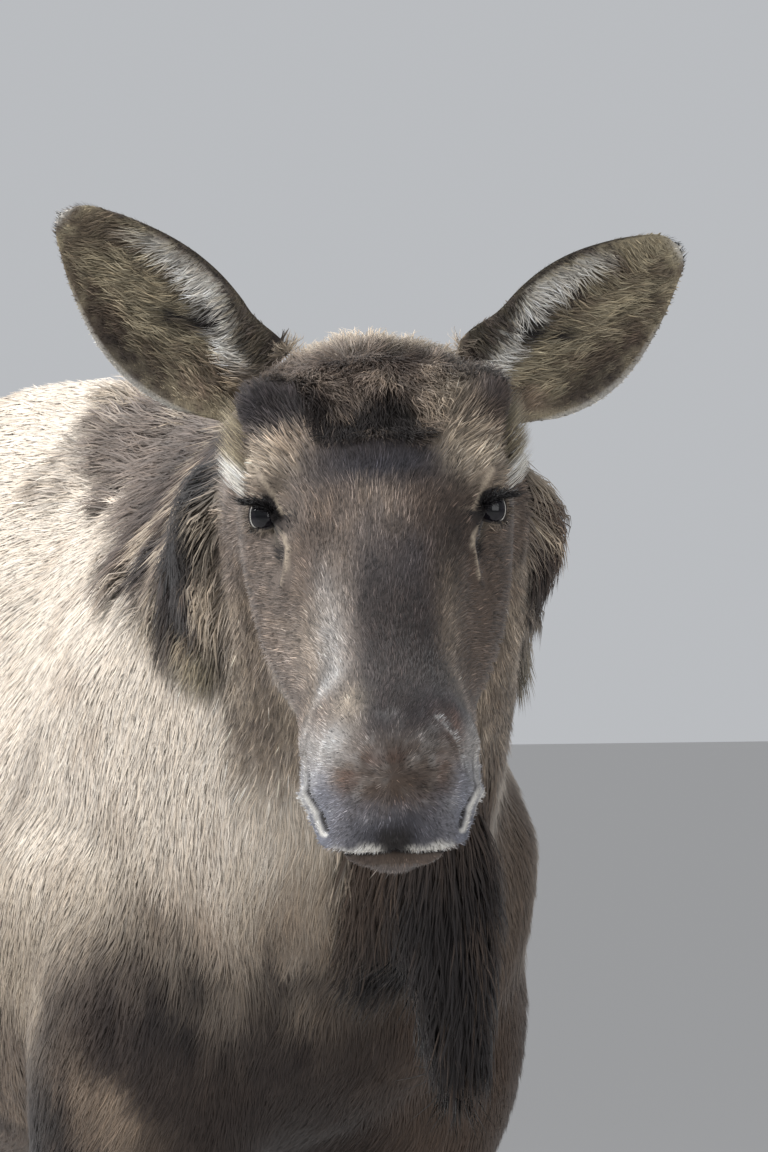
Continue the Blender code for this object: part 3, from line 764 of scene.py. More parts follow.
def column_mesh(name, rows, place):
    """A loft of level ovals. place(height) gives what is added to a row's x and y."""
    rings = []
    for height, y, half_width, half_depth in smooth_rows(rows, 3):
        x_shift, y_shift = place(height)
        centre = BODY_ORIGIN + Vector((x_shift, y + y_shift, height))
        ahead, side = Vector((0, -1, 0)), Vector((1, 0, 0))
        rings.append(oval(centre, side, ahead, half_width, half_depth, half_depth))
    return mesh_of_rings(name, rings)


def leg_line(name, side, stride, top_spread, hoof_spread):
    """The rows of a leg, and what its stance adds to their x and y."""
    fore = name.startswith("foreleg")
    rows, set_back = (FORELEG, FORE_SETBACK) if fore else (HINDLEG, HIND_SETBACK)

    def place(height):
        share = height / rows[0][0]
        spread = hoof_spread + (top_spread - hoof_spread) * share
        return side * spread, set_back - stride * (1 - share)

    return rows, place


def foot_centre(leg):
    rows, place = leg_line(*leg)
    x, y = place(rows[-1][0])
    return x + BODY_ORIGIN.x, y + rows[-1][1] + BODY_ORIGIN.y


def bud_axes(side):
    """Centre of an antler bud and its three half axes."""
    out = (CROWNWARD * 0.72 + LEFTWARD * side * 0.62 - NOSEWARD * 0.3).normalized()
    across = NOSEWARD.cross(out).normalized()
    along = out.cross(across)
    axes = Matrix((across * 0.029, along * 0.029, out * 0.03)).transposed()
    return in_head(side * 0.117, -0.1, 0.062), axes


BUD_CENTRES = [bud_axes(side)[0] for side in BOTH]


def dome_mesh(name, centre, axes, across, up):
    """A ball with its axes stretched, of so many faces round and up."""
    bm = bmesh.new()
    bmesh.ops.create_uvsphere(bm, u_segments=across, v_segments=up, radius=1.0)
    for vertex in bm.verts:
        vertex.co = centre + axes @ vertex.co
    bmesh.ops.recalc_face_normals(bm, faces=bm.faces)
    return mesh_from(bm, name)


def bell_shift(height):
    """What the bell's lean adds to its x and y."""
    return BELL_X + BELL_LEAN * (1.5 - height), 0.0


def melted_body():
    """All the lofts as one smooth closed surface, out to the tips of the coat."""
    meshes = [trunk_mesh(), neck_mesh(), head_mesh(), jaw_mesh()]
    meshes += [column_mesh(leg[0] + "_loft", *leg_line(*leg)) for leg in LEGS]
    meshes.append(column_mesh("bell_loft", BELL, bell_shift))
    meshes.append(column_mesh("tail_loft", TAIL, lambda height: (0.0, 0.0)))
    meshes += [dome_mesh("bud", *bud_axes(side), 16, 10) for side in BOTH]
    bm = bmesh.new()
    for mesh in meshes:
        bm.from_mesh(mesh)
    body = add_object("body_skin", mesh_from(bm, "body_skin"))
    remesh = body.modifiers.new("melt", "REMESH")
    remesh.mode = "VOXEL"
    remesh.voxel_size = VOXEL
    ease = body.modifiers.new("ease", "SMOOTH")
    ease.factor = 0.5
    ease.iterations = 9
    return applied(body)


def finer(obj, choose):
    """Halves the edges whose two ends are both chosen by choose(points)."""
    bm = bmesh.new()
    bm.from_mesh(obj.data)
    bm.verts.ensure_lookup_table()
    chosen = choose(points_of(obj.data))
    edges = [e for e in bm.edges if chosen[e.verts[0].index] and chosen[e.verts[1].index]]
    bmesh.ops.subdivide_edges(bm, edges=edges, cuts=1, use_grid_fill=True)
    bm.to_mesh(obj.data)
    bm.free()
    put = points_of(obj.data)
    hold = np.where(choose(put), 0.5, 0.0)
    put_points(obj.data, relaxed(put, obj.data, hold, 2))


def ear_mesh(side, slack=0.0045):
    """A cupped leaf, smaller than the furred ear by the depth of its short coat."""
    root, along, opening = ear_frame(side)
    across = along.cross(opening).normalized()
    lengths, widths = 40, 13
    rings = []
    for i in range(lengths + 1):
        share = i / lengths
        halves = [ear_reach(share, toward) for toward in (False, True)]
        depth = 0.052 * (1 - share) ** 0.7 * min(1.0, sum(halves) / 0.1) + 0.004
        thick = 0.0055 * (1.25 - 0.55 * share)
        reach = (EAR_LENGTH - slack) * share
        ring = []
        for face in (1, -1):
            for k in range(-widths, widths):
                v = face * k / widths
                cup = -depth * (1 - v * v)
                wall = thick * math.sqrt(1 - 0.75 * v * v) / 2
                half = max(halves[v * side > 0] - slack, 0.004)
                flared = half + (0.02 * ramp(0.26, 0.0, share) if v * side < 0 else 0.0)
                point = root + along * reach + across * flared * v
                ring.append(point + opening * (cup + face * wall * (abs(v) < 1)))
        rings.append(ring)
    return mesh_of_rings("ear", rings)


# ---- where things are ----
def head_outline(forward):
    """Top, greatest half width and underside of head and jaw this far towards the nose."""
    stations, *columns = zip(*HEAD)
    top, half, low = (np.interp(forward, stations, columns[k]) for k in (0, 2, 6))
    stations, _, _, undersides = zip(*JAW)
    jaw = np.interp(forward, stations, undersides, left=0, right=0)
    return top, half, np.minimum(low, jaw)


def headness(points):
    """1 on the head and its jaw, 0 on the neck and what is behind them."""
    head = to_head(points)
    top, half, low = head_outline(head[:, 1])
    wide = np.abs(head[:, 0]) / half
    high = np.abs(head[:, 2] - (top + low) / 2) / ((top - low) / 2)
    outline = (wide**2.6 + high**2.6) ** (1 / 2.6)
    base = np.array(HEAD_ORIGIN - HEADING * 0.21 + UP * 0.047)
    out = np.array((HEADING * 0.896 - UP * 0.443).normalized())
    on_bud = ramp(0.05, 0.04, distance_to(points, BUD_CENTRES))
    near = np.maximum(ramp(1.22, 1.12, outline), on_bud)
    return near * ramp(-0.01, 0.03, (points - base) @ out) * (points[:, 2] > 1.3)


def ear_place(points, side):
    """Share of the ear's length, place across it as a share of the half width (negative
    towards the crown), height towards the opening and a mask of the ear."""
    root, along, opening = ear_frame(side)
    way = points - np.array(root)
    share = way @ np.array(along) / EAR_LENGTH
    wide = way @ ear_across(side)
    high = way @ np.array(opening)
    crownward = ear_reach(share, False) + 0.02 * ramp(0.26, 0.0, share)
    half = np.where(wide > 0, ear_reach(share, True), crownward)
    mask = ramp(-0.02, 0.06, share) * (np.abs(wide) < 0.105) * (np.abs(high + 0.02) < 0.075)
    mask = mask * (to_head(points)[:, 0] * side > 0.1)
    return share, wide / np.maximum(half, 0.012), high, mask


def regions(points):
    """Share of each kind of coat at each point, as columns in the order of COAT."""
    x, y, z = to_body(points).T
    head = to_head(points)
    _, forward, rise = head.T
    side = np.abs(head[:, 0])
    shares = np.zeros((len(points), len(COAT)))
    shares[:, COLUMN["trunk"]] = 1.0

    def lay(name, mask):
        shares[:] = shares * (1 - mask[:, None])
        shares[:, COLUMN[name]] += mask

    lay("shoulder", ramp(0.26, 0.06, y) * ramp(0.85, 1.0, z))
    ragged = 0.13 * cloud(points, 0.05, 15) + 0.1 * cloud(points, 0.018, 17)
    edge = np.interp(z, *zip(*MANE_EDGE)) + ragged * ramp(1.58, 1.7, z)
    throat = ramp(0.165, 0.145, side) * ramp(1.8, 1.72, z) * ramp(-0.1, -0.06, forward)
    lay("mane", ramp(0.11, -0.11, y - edge) * ramp(1.5, 1.56, z) * (1 - throat))
    lay("jaw", ramp(-0.3, -0.4, y) * ramp(1.44, 1.52, z) * throat)
    lay("upper_leg", ramp(1.04, 0.9, z))
    lay("lower_leg", ramp(0.66, 0.5, z))
    lay("foot", ramp(0.26, 0.18, z))
    lay("tail", ramp(1.385, 1.42, y) * ramp(0.075, 0.055, np.abs(x)) * (z > 1.3))
    spread = np.hypot(x - bell_shift(z)[0], (y + 0.62) * 0.9)
    lay("bell", ramp(0.105, 0.08, spread) * ramp(1.52, 1.46, z) * (z > 1.1))
    headed = headness(points)
    lay("face", headed)
    lay("jaw", headed * ramp(-0.12, -0.18, rise) * ramp(0.36, 0.26, forward))
    lay("muzzle", headed * ramp(0.26, 0.34, forward))
    edge = -0.036 - 0.075 * ramp(0.048, 0.088, side) + 0.006 * cloud(points, 0.02, 16)
    lay("brow", headed * mound(head, (0.098, -0.05, 0.05), (0.034, 0.04, 0.05), 1.5).clip(0, 1))
    lay("crown", headed * ramp(0.004, -0.012, forward - edge) * ramp(0.035, 0.055, rise))
    for which in BOTH:
        lay("ear", ear_place(points, which)[3])
    return shares


def coat_depth(points):
    """How far the skin lies within the coat's outline."""
    depth = regions(points) @ COAT_ROWS[:, 0]
    _, y, z = to_body(points).T
    heights, _, half_widths, _ = zip(*reversed(BELL))
    thin = 0.42 * np.interp(z, heights, half_widths)
    on_bell = (z < 1.45) & (y < -0.5) & (z > 1.1)
    depth = np.where(on_bell, np.minimum(depth, thin), depth)
    depth = np.where(distance_to(points, BUD_CENTRES) < 0.04, 0.005, depth)
    return np.where((y > 1.42) & (z < 1.42), 0.006, depth)


# ---- lines and folds of the head ----
KEPT = {}  # the traced lines and the skin, made once and used by the pieces that follow


def trace_paths(body):
    """Lays each line of PATHS on the surface: places and the ways out of it, on the left."""
    tree = search_tree(body.data)
    for name, corners in PATHS.items():
        steps = 12 if name != "notch" else 6
        found = [tree.find_nearest(spot) for spot in from_head(np.array(smooth_rows(corners, steps)))]
        places = to_head(np.array([f[0] for f in found]))
        KEPT[name] = places, np.array([f[1] for f in found]) @ HEAD_BASIS.T


def nearness(head, name, above=0.0):
    """Distance beside a traced line, on both sides of the head. Depth below it, and height
    above it as far as given, are left out."""
    places, ways = KEPT[name]
    own = folded(head)
    best = np.full(len(own), 9.0)
    low, high = places.min(axis=0) - 0.035, places.max(axis=0) + 0.035
    close = np.nonzero(((own > low) & (own < high)).all(axis=1))[0]
    for place, way in zip(places, ways):
        gap = own[close] - place
        gap -= np.minimum(gap @ way, above)[:, None] * way
        best[close] = np.minimum(best[close], np.linalg.norm(gap, axis=1))
    return best


def mound(head, centre, radii, height, on_both=True):
    """Height of a soft mound, on both sides of the head or on one."""
    own = folded(head) if on_both else head
    away = (own - np.array(centre)) / np.array(radii)
    return height * np.exp(-(away**2).sum(axis=1))


def furrow(head, name, radius, depth, lip=0.0):
    """A groove along a traced line, with raised lips."""
    away = nearness(head, name) / radius
    return -depth * np.exp(-(away**2)) + lip * np.exp(-(((away - 1.9) / 0.7) ** 2))


# The opening of the lids as angles seen from the eyeball's centre.
LID_LENGTH = 0.8
LID_ABOVE = 0.48
LID_BELOW = 0.84


def eye_centre(side):
    return np.array([side * EYE_SIDE, 0, 0])


def eye_axes(side):
    """Way the eye looks, way from its inner to its outer corner, and up, in the head's axes."""
    face = unit(np.array([side * 0.2, 0.69, 0.64]))
    along = np.array([side * 0.76, -0.46, 0.44])
    along = unit(along - face * along.dot(face))
    up = np.cross(along, face)
    return face, along, up * np.sign(up[2])


def lid_arch(a, above):
    """Angle of the upper or the lower lid at an angle along the opening."""
    arch = np.clip(1 - (a / LID_LENGTH) ** 2, 0, 1)
    return LID_ABOVE * arch**0.9 if above else -LID_BELOW * arch**1.1


def eye_angles(head, side):
    """Distance from the eyeball's centre, angle outside the lids' opening, and how far the
    point lies towards the opening."""
    way = head - eye_centre(side)
    away = np.linalg.norm(way, axis=1)
    face, along, up = eye_axes(side)
    straight = unit(way)
    ahead = straight @ face
    a = np.arctan2(straight @ along, ahead)
    b = np.arctan2(straight @ up, ahead)
    outside = np.maximum(b - lid_arch(a, True), lid_arch(a, False) - b)
    corner = np.hypot(np.maximum(np.abs(a) - LID_LENGTH, 0), b)
    return away, np.where(np.abs(a) > LID_LENGTH, corner, outside), ahead


MUZZLE_DRAWN_IN = (  # distance below the eyes as seen from ahead, share of the width
    (0.325, 1.0),
    (0.353, 0.94),
    (0.385, 0.965),
    (0.411, 0.91),
    (0.439, 0.94),
    (0.46, 0.97),
    (0.475, 0.93),
    (0.52, 0.92),
)
SWELLINGS = (  # centre, radii and height of each, in the head's axes
    ((0.112, -0.022, 0.03), (0.026, 0.018, 0.018), 0.009),  # brow
    ((0.094, 0.024, 0.004), (0.01, 0.022, 0.014), -0.003),  # inner corner of the eye
    ((0.118, 0.075, -0.052), (0.03, 0.06, 0.022), 0.005),  # cheekbone
    ((0.098, 0.11, 0.0), (0.012, 0.06, 0.02), -0.004),  # hollow before the eye
    ((0.08, 0.374, -0.01), (0.014, 0.016, 0.018), 0.007),  # wing of the nostril
    ((0.094, 0.322, -0.04), (0.012, 0.022, 0.012), 0.004),  # rear rim of the nostril
    ((0.066, 0.405, -0.07), (0.02, 0.026, 0.01), 0.003),  # lip below the nostril
    ((0.03, 0.425, -0.046), (0.022, 0.018, 0.014), 0.003),  # halves of the upper lip
    ((0.0, 0.4, -0.104), (0.044, 0.02, 0.014), 0.006),  # lower lip
    ((0.0, -0.052, 0.085), (0.075, 0.024, 0.03), -0.008),  # hollow below the mop
    ((0.0, 0.3, 0.07), (0.03, 0.04, 0.03), -0.002),  # flat of the nose
)


def narrowed(head):
    """The muzzle drawn in below the nostrils' upper ends, as seen from ahead."""
    down = head[:, 1] - head[:, 2]
    levels, widths = zip(*MUZZLE_DRAWN_IN)
    share = np.interp(down, levels, widths)
    drawn_in = 1 - ramp(0.24, 0.3, head[:, 1]) * (1 - share)
    return np.column_stack([head[:, 0] * drawn_in, head[:, 1:]])


def sculpted(head, normals):
    """The head's vertices moved into its folds, nostrils, lips and lids."""
    rise = sum(mound(head, *swelling) for swelling in SWELLINGS)
    rise += furrow(head, "crease", 0.005, -0.0022)
    rise += furrow(head, "mouth", 0.005, 0.0085, 0.0014)
    rise += furrow(head, "tear_duct", 0.004, 0.0042, 0.001)
    rise += furrow(head, "notch", 0.0036, 0.0036)
    slit = np.exp(-((nearness(head, "nostril") / 0.0074) ** 2))
    rise += furrow(head, "nostril", 0.0074, 0.016, 0.002)
    undercut = mirrored(head[:, 0], -0.2, 0.7, 0.5)
    rim = np.exp(-((nearness(head, "rim", 0.01) / 0.0075) ** 2))
    flare = mirrored(head[:, 0], 1, 0.25, 0.1)
    ridge = np.exp(-((nearness(head, "tear_line") / 0.007) ** 2))
    edge = normals * 0.8 + mirrored(head[:, 0], 0.7, 0, 0)
    head = head + normals * rise[:, None] + undercut * (slit * 0.004)[:, None]
    head = head + flare * (rim * 0.0085)[:, None]
    for side in BOTH:
        away, outside, ahead = eye_angles(head, side)
        near = (away < 0.055) & (ahead > -0.1) & (outside < 0.95)
        blend = ramp(0.26, 0.95, outside)
        rim = EYE_RADIUS + 0.0032 - 0.0014 * np.exp(-(((outside - 0.34) / 0.1) ** 2))
        wanted = rim * (1 - blend) + np.maximum(away, EYE_RADIUS + 0.001) * blend
        wanted = np.where(outside < 0.0, EYE_RADIUS - 0.004, wanted)
        moved = eye_centre(side) + unit(head - eye_centre(side)) * wanted[:, None]
        ridge = np.where(near, ridge * ramp(0.02, 0.28, outside), ridge)
        head = np.where(near[:, None], moved, head)
    return head + edge * (ridge * 0.0052)[:, None]


# ---- lie of the coat ----
def pull(points, lie):
    """Mean of the directions of the anchors, nearer ones counting more. Mirrored for -x."""
    total = np.zeros_like(points)
    for place, reach, way in lie:
        for side in BOTH:
            spot = np.array(place) * (side, 1, 1)
            distance = ((points - spot) ** 2).sum(axis=1) / reach**2
            total += (1 / (distance + 0.05) ** 2)[:, None] * unit(np.array(way) * (side, 1, 1))
    return unit(total)


def lie_on_ear(points, normals, side):
    """Behind, towards the tip. Inside, out of the edges into the cavity and to the tip."""
    _, along, opening = ear_frame(side)
    _, wide, _, mask = ear_place(points, side)
    across = ear_across(side)
    inner = normals @ np.array(opening) > 0
    medial = ramp(-0.1, -0.45, wide)
    lateral = ramp(0.5, 0.85, wide)
    sideways = 0.85 * medial + 0.35 * (1 - medial) * (1 - lateral) + 0.55 * lateral
    within = np.array(along) * (0.75 - 0.4 * medial)[:, None] + across * sideways[:, None]
    rim = np.sign(wide) * ramp(0.7, 0.95, np.abs(wide))
    behind = np.array(along) + across * (0.35 * rim)[:, None]
    return np.where(inner[:, None], within, behind), mask


def lie_of_coat(points, normals, stray=0.16):
    """The way the hair points at each point, along the skin."""
    head = to_head(points)
    lie = pull(to_body(points), BODY_LIE)
    on_head = pull(head, HEAD_LIE)
    whorl = head - np.array(MUZZLE_WHORL)
    near = np.exp(-((whorl**2).sum(axis=1)) / 0.085**2)[:, None]
    on_head = unit(on_head * (1 - near) + unit(whorl) * near * 1.6) @ HEAD_BASIS
    lie = unit(mixed(lie, on_head, regions(points)[:, HEAD_COLUMNS].sum(axis=1)))
    for side in BOTH:
        lie = mixed(lie, *lie_on_ear(points, normals, side))
    lie = unit(lie) + swirls(points, 0.06, 3) * stray * 1.2 + swirls(points, 0.018, 6) * stray
    return along_skin(lie, normals)


# ---- colours of the coat ----
class Paint:
    """Washes of the coat's tones laid over each other, one colour for each point."""

    def __init__(self, count):
        self.colour = np.zeros((count, 3))

    def wash(self, name, mask):
        self.colour = mixed(self.colour, tone_of(name), np.clip(mask, 0, 1))


def body_paint(wash, points, normals):
    body = to_body(points)
    _, y, z = body.T
    wide, mid, fine = (cloud(points, size, 11) for size in (0.16, 0.05, 0.016))
    streak = cloud(points * (1, 1, 0.3), 0.018, 14)
    wash("grey_brown", np.ones(len(points)))
    wash("oat", ramp(1.16, 1.42, z + 0.06 * wide) * ramp(0.85, 0.25, y + 0.1 * wide) * 0.9)
    # Withers and shoulders: their paler coat, with painted sunlight on these upper parts.
    pale = ramp(1.26, 1.5, z + 0.06 * wide) * ramp(0.65, 0.15, y + 0.1 * wide)
    wash("cream", pale * 0.92)
    wash("tan", band(0.13, 0.13, y) * band(1.78, 0.09, z) * (0.05 + 0.2 * mid))
    wash("tan", pale * ramp(0.15, 0.6, mid + 0.4 * fine) * 0.3)
    # Painted shade: a darker band down the crease where the neck meets the shoulder blade.
    wash("grey_brown", band(-0.12, 0.05, y + 0.5 * (z - 1.48)) * band(1.46, 0.16, z) * 0.35)
    wash("brown", ramp(0.55, 1.05, y + 0.1 * wide) * 0.6)
    wash("oat", band(1.75, 0.16, z) * ramp(1.3, 0.8, y) * ramp(0.3, 0.5, y) * 0.4)
    wash("brown", ramp(1.3, 1.14, z + 0.07 * wide) * 0.85)
    wash("dark", ramp(1.28, 1.12, z + 0.06 * wide) * ramp(0.5, -0.2, y) * 0.85)
    # Front of the chest, seen from ahead and to the right: how far across and how high.
    seen = ramp(-0.2, 0.25, normals @ np.array([-0.5, -0.866, 0.0])) * ramp(0.35, 0.2, y)
    across = body @ np.array([0.866, -0.5, 0.0]) + 0.02 * mid + 0.008 * fine

    def mark(name, place, height, half_width, half_height, share, lean=0.0):
        off = (across - place - lean * (z - height)) / half_width
        up = (z - height + 0.03 * mid) / half_height
        wash(name, seen * np.exp(-(off**2) - up**2) * share * (1 + 0.5 * streak))

    # The chest's side towards the animal's left, turned from the lamps, is painted darker and browner:
    # partly the dark hair of the brisket, partly painted shade.
    wash("dark", seen * 0.52 * ramp(0.18, 0.25, across) * ramp(1.52, 1.44, z))
    wash("brown", seen * ramp(0.2, 0.27, across) * ramp(1.64, 1.54, z) * 0.75)
    for marking in CHEST_MARKS:
        mark(*marking)
    # Mane: dark, with streaks of brown and tan.
    mane = regions(points)[:, COLUMN["mane"]]
    wash("brown", mane)
    clumps = cloud(points, 0.055, 51) + 0.5 * cloud(points, 0.022, 52)
    wash("dark", mane * ramp(0.4, -0.3, clumps) * ramp(0.0, -0.35, y))
    wash("grey_brown", mane * ramp(-0.35, -0.1, y) * 0.8)
    wash("oat", mane * ramp(0.15, 0.75, clumps + 0.5 * fine) * 0.6)
    wash("khaki", mane * ramp(1.68, 1.6, z) * np.clip(0.5 + 0.5 * streak, 0, 1))
    for name, place, reach, share in MANE_MARKS:
        gap = (body - np.array(place)) / np.array(reach)
        wash(name, mane * np.exp(-(gap**2).sum(axis=1)) * share * ramp(0.8, -0.1, clumps))
    # Legs: brown above, pale grey below.
    wash("brown", ramp(1.02, 0.9, z) * 0.9)
    wash("leg", ramp(0.86, 0.66, z + 0.05 * wide))
    wash("grey_brown", ramp(0.24, 0.12, z) * 0.4)


def face_paint(whole_wash, points, headed):
    head = to_head(points)
    across, forward, rise = head.T
    side, down = np.abs(across), forward - rise
    mid, fine = cloud(points, 0.05, 12), cloud(points, 0.016, 13)
    streak = cloud(head * (1, 0.25, 1), 0.01, 16)
    spots = cloud(points, 0.022, 31)

    def wash(name, mask):
        whole_wash(name, headed * mask)

    def spot(name, place, radii, share, on_both=False):
        """A round mark, given by its centre and radii. The third radius may be left out."""
        wash(name, mound(head, place, (*radii, 0.03)[:3], share, on_both))

    wash("grey_brown", np.ones(len(points)))
    wash("brown", ramp(-0.3, 0.6, 0.6 * mid + 0.6 * streak) * 0.45)
    wash("tan", ramp(0.0, 0.7, fine + 0.8 * streak) * ramp(0.3, 0.05, forward) * 0.22)
    # The head's right side, towards the light, is painted a little paler and its left side browner: partly
    # the coat's own tones, partly painted light and shade.
    wash("oat", ramp(-0.02, -0.08, across) * ramp(0.1, 0.18, forward) * ramp(-0.06, 0.0, rise) * 0.22)
    wash("brown", ramp(-0.01, 0.05, across) * ramp(0.27, 0.17, forward) * 0.85)
    spot("brown", (-0.062, 0.07, 0.03), (0.03, 0.05, 0.04), 0.85)
    # Dark on the left cheek: partly dark hair, partly painted shade on the side turned from the light.
    spot("dark", (0.075, 0.075, 0.03), (0.03, 0.06, 0.04), 0.9)
    wash("dark", ramp(0.115, 0.095, side) * ramp(0.03, -0.01, forward) * ramp(0.02, 0.04, rise) * 0.55)
    # Painted light: the underside of the head, which faces down, is painted paler so that it looks lit.
    wash("oat", ramp(-0.09, -0.16, rise) * (0.35 + 0.25 * streak))
    wash("brown", band(0.122, 0.03, side) * ramp(0.25, 0.1, forward) * 0.3)
    # Bridge: slate down its middle and right, paler ridges at its sides.
    bridge = ramp(-0.04, -0.01, across) * ramp(0.07, 0.03, across) * ramp(0.0, 0.03, rise)
    wash("slate", bridge * ramp(0.02, 0.12, forward) * (0.8 + 0.25 * mid))
    wash("dark", bridge * ramp(0.06, 0.2, forward) * 0.9)
    spot("silver", (-0.056, 0.215, 0.03), (0.016, 0.09), 0.55)
    spot("oat", (0.07, 0.2, 0.02), (0.014, 0.08), 0.3)
    # Brows and forehead.
    wash("oat", mound(head, (0.108, -0.034, 0.045), (0.03, 0.026, 0.04), 1.2) * (0.75 + 0.5 * streak))
    wash("tan", mound(head, (0.085, -0.036, 0.06), (0.02, 0.02, 0.04), 0.7))
    spot("slate", (-0.098, -0.08, 0.07), (0.04, 0.024), 1.3)
    spot("dark", (-0.09, -0.078, 0.075), (0.035, 0.02), 0.8)
    spot("brown", (0.11, -0.08, 0.07), (0.026, 0.02), 0.7)
    spot("oat", (0.088, -0.03, 0.058), (0.026, 0.026, 0.04), 0.7)
    spot("slate", (0.005, -0.012, 0.07), (0.075, 0.026, 0.04), 1.2)
    spot("oat", (0.086, -0.028, 0.058), (0.02, 0.018, 0.04), 0.6)
    # Painted shadow: a dark band on the forehead under the overhanging front of the mop.
    spot("dark", (-0.01, -0.02, 0.07), (0.055, 0.014, 0.04), 0.6)
    wash("oat", ramp(-0.12, -0.165, forward) * ramp(0.02, 0.06, rise) * 0.8)
    crown = regions(points)[:, COLUMN["crown"]]
    locks = cloud(points, 0.024, 21) + 0.5 * cloud(points, 0.01, 23)
    wash("grey_brown", crown)
    wash("brown", crown * ramp(0.5, -0.2, locks) * 0.85)
    wash("tan", crown * ramp(0.1, 0.7, locks) * 0.45)
    wash("dark", crown * ramp(-0.1, -0.6, locks) * 0.85)
    mop = crown * ramp(-0.1, -0.08, forward)
    wash("tan", mop * ramp(0.035, 0.06, across) * 0.6)
    wash("oat", mop * ramp(0.04, 0.07, across) * ramp(0.0, 0.5, locks) * 0.5)
    # Painted shadow: black brown along the mop's front edge, in the hollow that it overhangs.
    wash("black_brown", mop * ramp(0.045, 0.02, across + 0.02 * locks) * ramp(0.75, 0.1, locks) * 0.95)
    wash("black_brown", crown * ramp(0.095, 0.06, side) * band(-0.045, 0.02, forward))
    wash("dark", crown * ramp(-0.04, -0.075, across) * ramp(-0.135, -0.11, forward) * 0.7)
    spot("slate", (0.117, -0.092, 0.075), (0.022, 0.022, 0.026), 0.6, True)
    spot("dark", (-0.105, -0.088, 0.075), (0.03, 0.03), 0.5)
    wash("oat", crown * ramp(-0.14, -0.17, forward + 0.01 * locks) * 0.85)
    spot("oat", (0.07, -0.09, 0.085), (0.026, 0.032), 0.6)
    # Muzzle: tan above, mottled brown in the middle, slate to lavender at the sides and below.
    muzzle = ramp(0.25, 0.31, forward)
    wash("grey_brown", muzzle * 0.8)
    wash("slate", muzzle * ramp(-0.045, -0.015, across) * ramp(0.34, 0.28, down) * 0.85)
    wash("dark", muzzle * band(0.005, 0.055, across) * ramp(0.34, 0.26, down) * 0.85)
    spot("dark", (0.066, 0.25, 0.04), (0.024, 0.028), 1.1)
    spot("dark", (-0.074, 0.245, 0.03), (0.016, 0.02), 0.8)
    spot("dark", (0.018, 0.286, 0.055), (0.04, 0.02), 0.6)
    spot("oat", (-0.04, 0.318, 0.05), (0.016, 0.028), 0.45)
    spot("silver", (-0.062, 0.262, 0.03), (0.016, 0.02), 0.6)
    spot("rust", (0.06, 0.335, 0.03), (0.018, 0.022), 0.8)
    wash("lavender", muzzle * ramp(0.362, 0.41, down + 0.015 * mid) * 0.75)
    wash("lavender", muzzle * ramp(0.05, 0.07, side) * ramp(0.33, 0.37, down) * 0.8)
    spot("silver", (-0.056, 0.355, 0.03), (0.016, 0.018), 0.85)
    spot("brown", (-0.066, 0.305, 0.02), (0.014, 0.014), 0.6)
    spot("silver", (0.078, 0.345, 0.01), (0.012, 0.03), 0.5, True)
    middle = ramp(0.062, 0.026, side) * band(0.375, 0.065, down)
    wash("brown", middle * (0.9 + 0.3 * fine))
    spot("dark", (0.005, 0.385, 0.03), (0.028, 0.02), 0.6)
    wash("dark", middle * ramp(0.0, 0.5, cloud(points, 0.014, 34)) * 0.75)
    wash("grey_brown", middle * ramp(0.1, 0.5, cloud(points, 0.012, 33)) * 0.6)
    frost = cloud(points, 0.02, 35) + 0.6 * cloud(points, 0.007, 36)
    frosted = muzzle * ramp(0.07, 0.05, side) * ramp(0.25, 0.32, down) * ramp(0.44, 0.4, down)
    wash("silver", frosted * ramp(-0.1, 1.0, frost) * 0.24)
    wash("rust", ramp(0.06, 0.045, side) * ramp(0.15, 0.5, spots) * band(0.36, 0.05, down) * 0.5)
    wash("slate", ramp(0.07, 0.01, side) * ramp(0.395, 0.44, down + 0.02 * fine) * 0.85)
    # Dark cleft of the upper lip: partly dark skin, partly painted shade in the groove.
    wash("black_brown", ramp(0.026, 0.008, side) * ramp(0.42, 0.45, down) * ramp(0.495, 0.482, down))
    rim = ramp(0.072, 0.085, side) * ramp(0.25, 0.29, forward) * ramp(-0.06, -0.04, rise)
    wash("silver", rim * 0.35)
    mouth, nostril = nearness(head, "mouth"), nearness(head, "nostril")
    line = np.interp(forward, [0.32, 0.38, 0.406, 0.421, 0.427], [-0.088, -0.072, -0.056, -0.0455, -0.0435])
    above = rise > line
    lip = ramp(0.017, 0.007, mouth - 0.005 * fine) * above * ramp(0.31, 0.36, forward)
    wash("white", lip * ramp(0.006, 0.02, side) * 0.85)
    lower = ramp(0.375, 0.405, down)
    wash("white", band(0.01, 0.0034, nostril) * (0.25 + 0.6 * lower))
    wash("white", ramp(0.006, 0.003, nearness(head, "rim", 0.012)) * (0.3 + 0.55 * lower))
    # Dark nostril slit: partly dark bare skin, partly painted shade in the opening.
    wash("black_brown", ramp(0.0086, 0.0064, nostril))
    chin = (1 - above) * ramp(0.33, 0.38, forward)
    wash("grey_brown", chin * 0.6)
    wash("brown", chin * ramp(0.02, 0.008, mouth) * 0.7)
    wash("oat", ramp(-0.1, -0.112, rise) * ramp(0.33, 0.37, forward) * 0.9)
    wash("dark", band(0.0075, 0.0045, nearness(head, "crease")) * (across > 0) * 0.6)
    wash("silver", ramp(0.0034, 0.0014, nearness(head, "crease", 0.006)) * (across > 0) * 0.7)
    # Dark mouth line: partly dark lip skin, partly painted shade between the lips.
    wash("black_brown", ramp(0.0036, 0.0022, mouth))
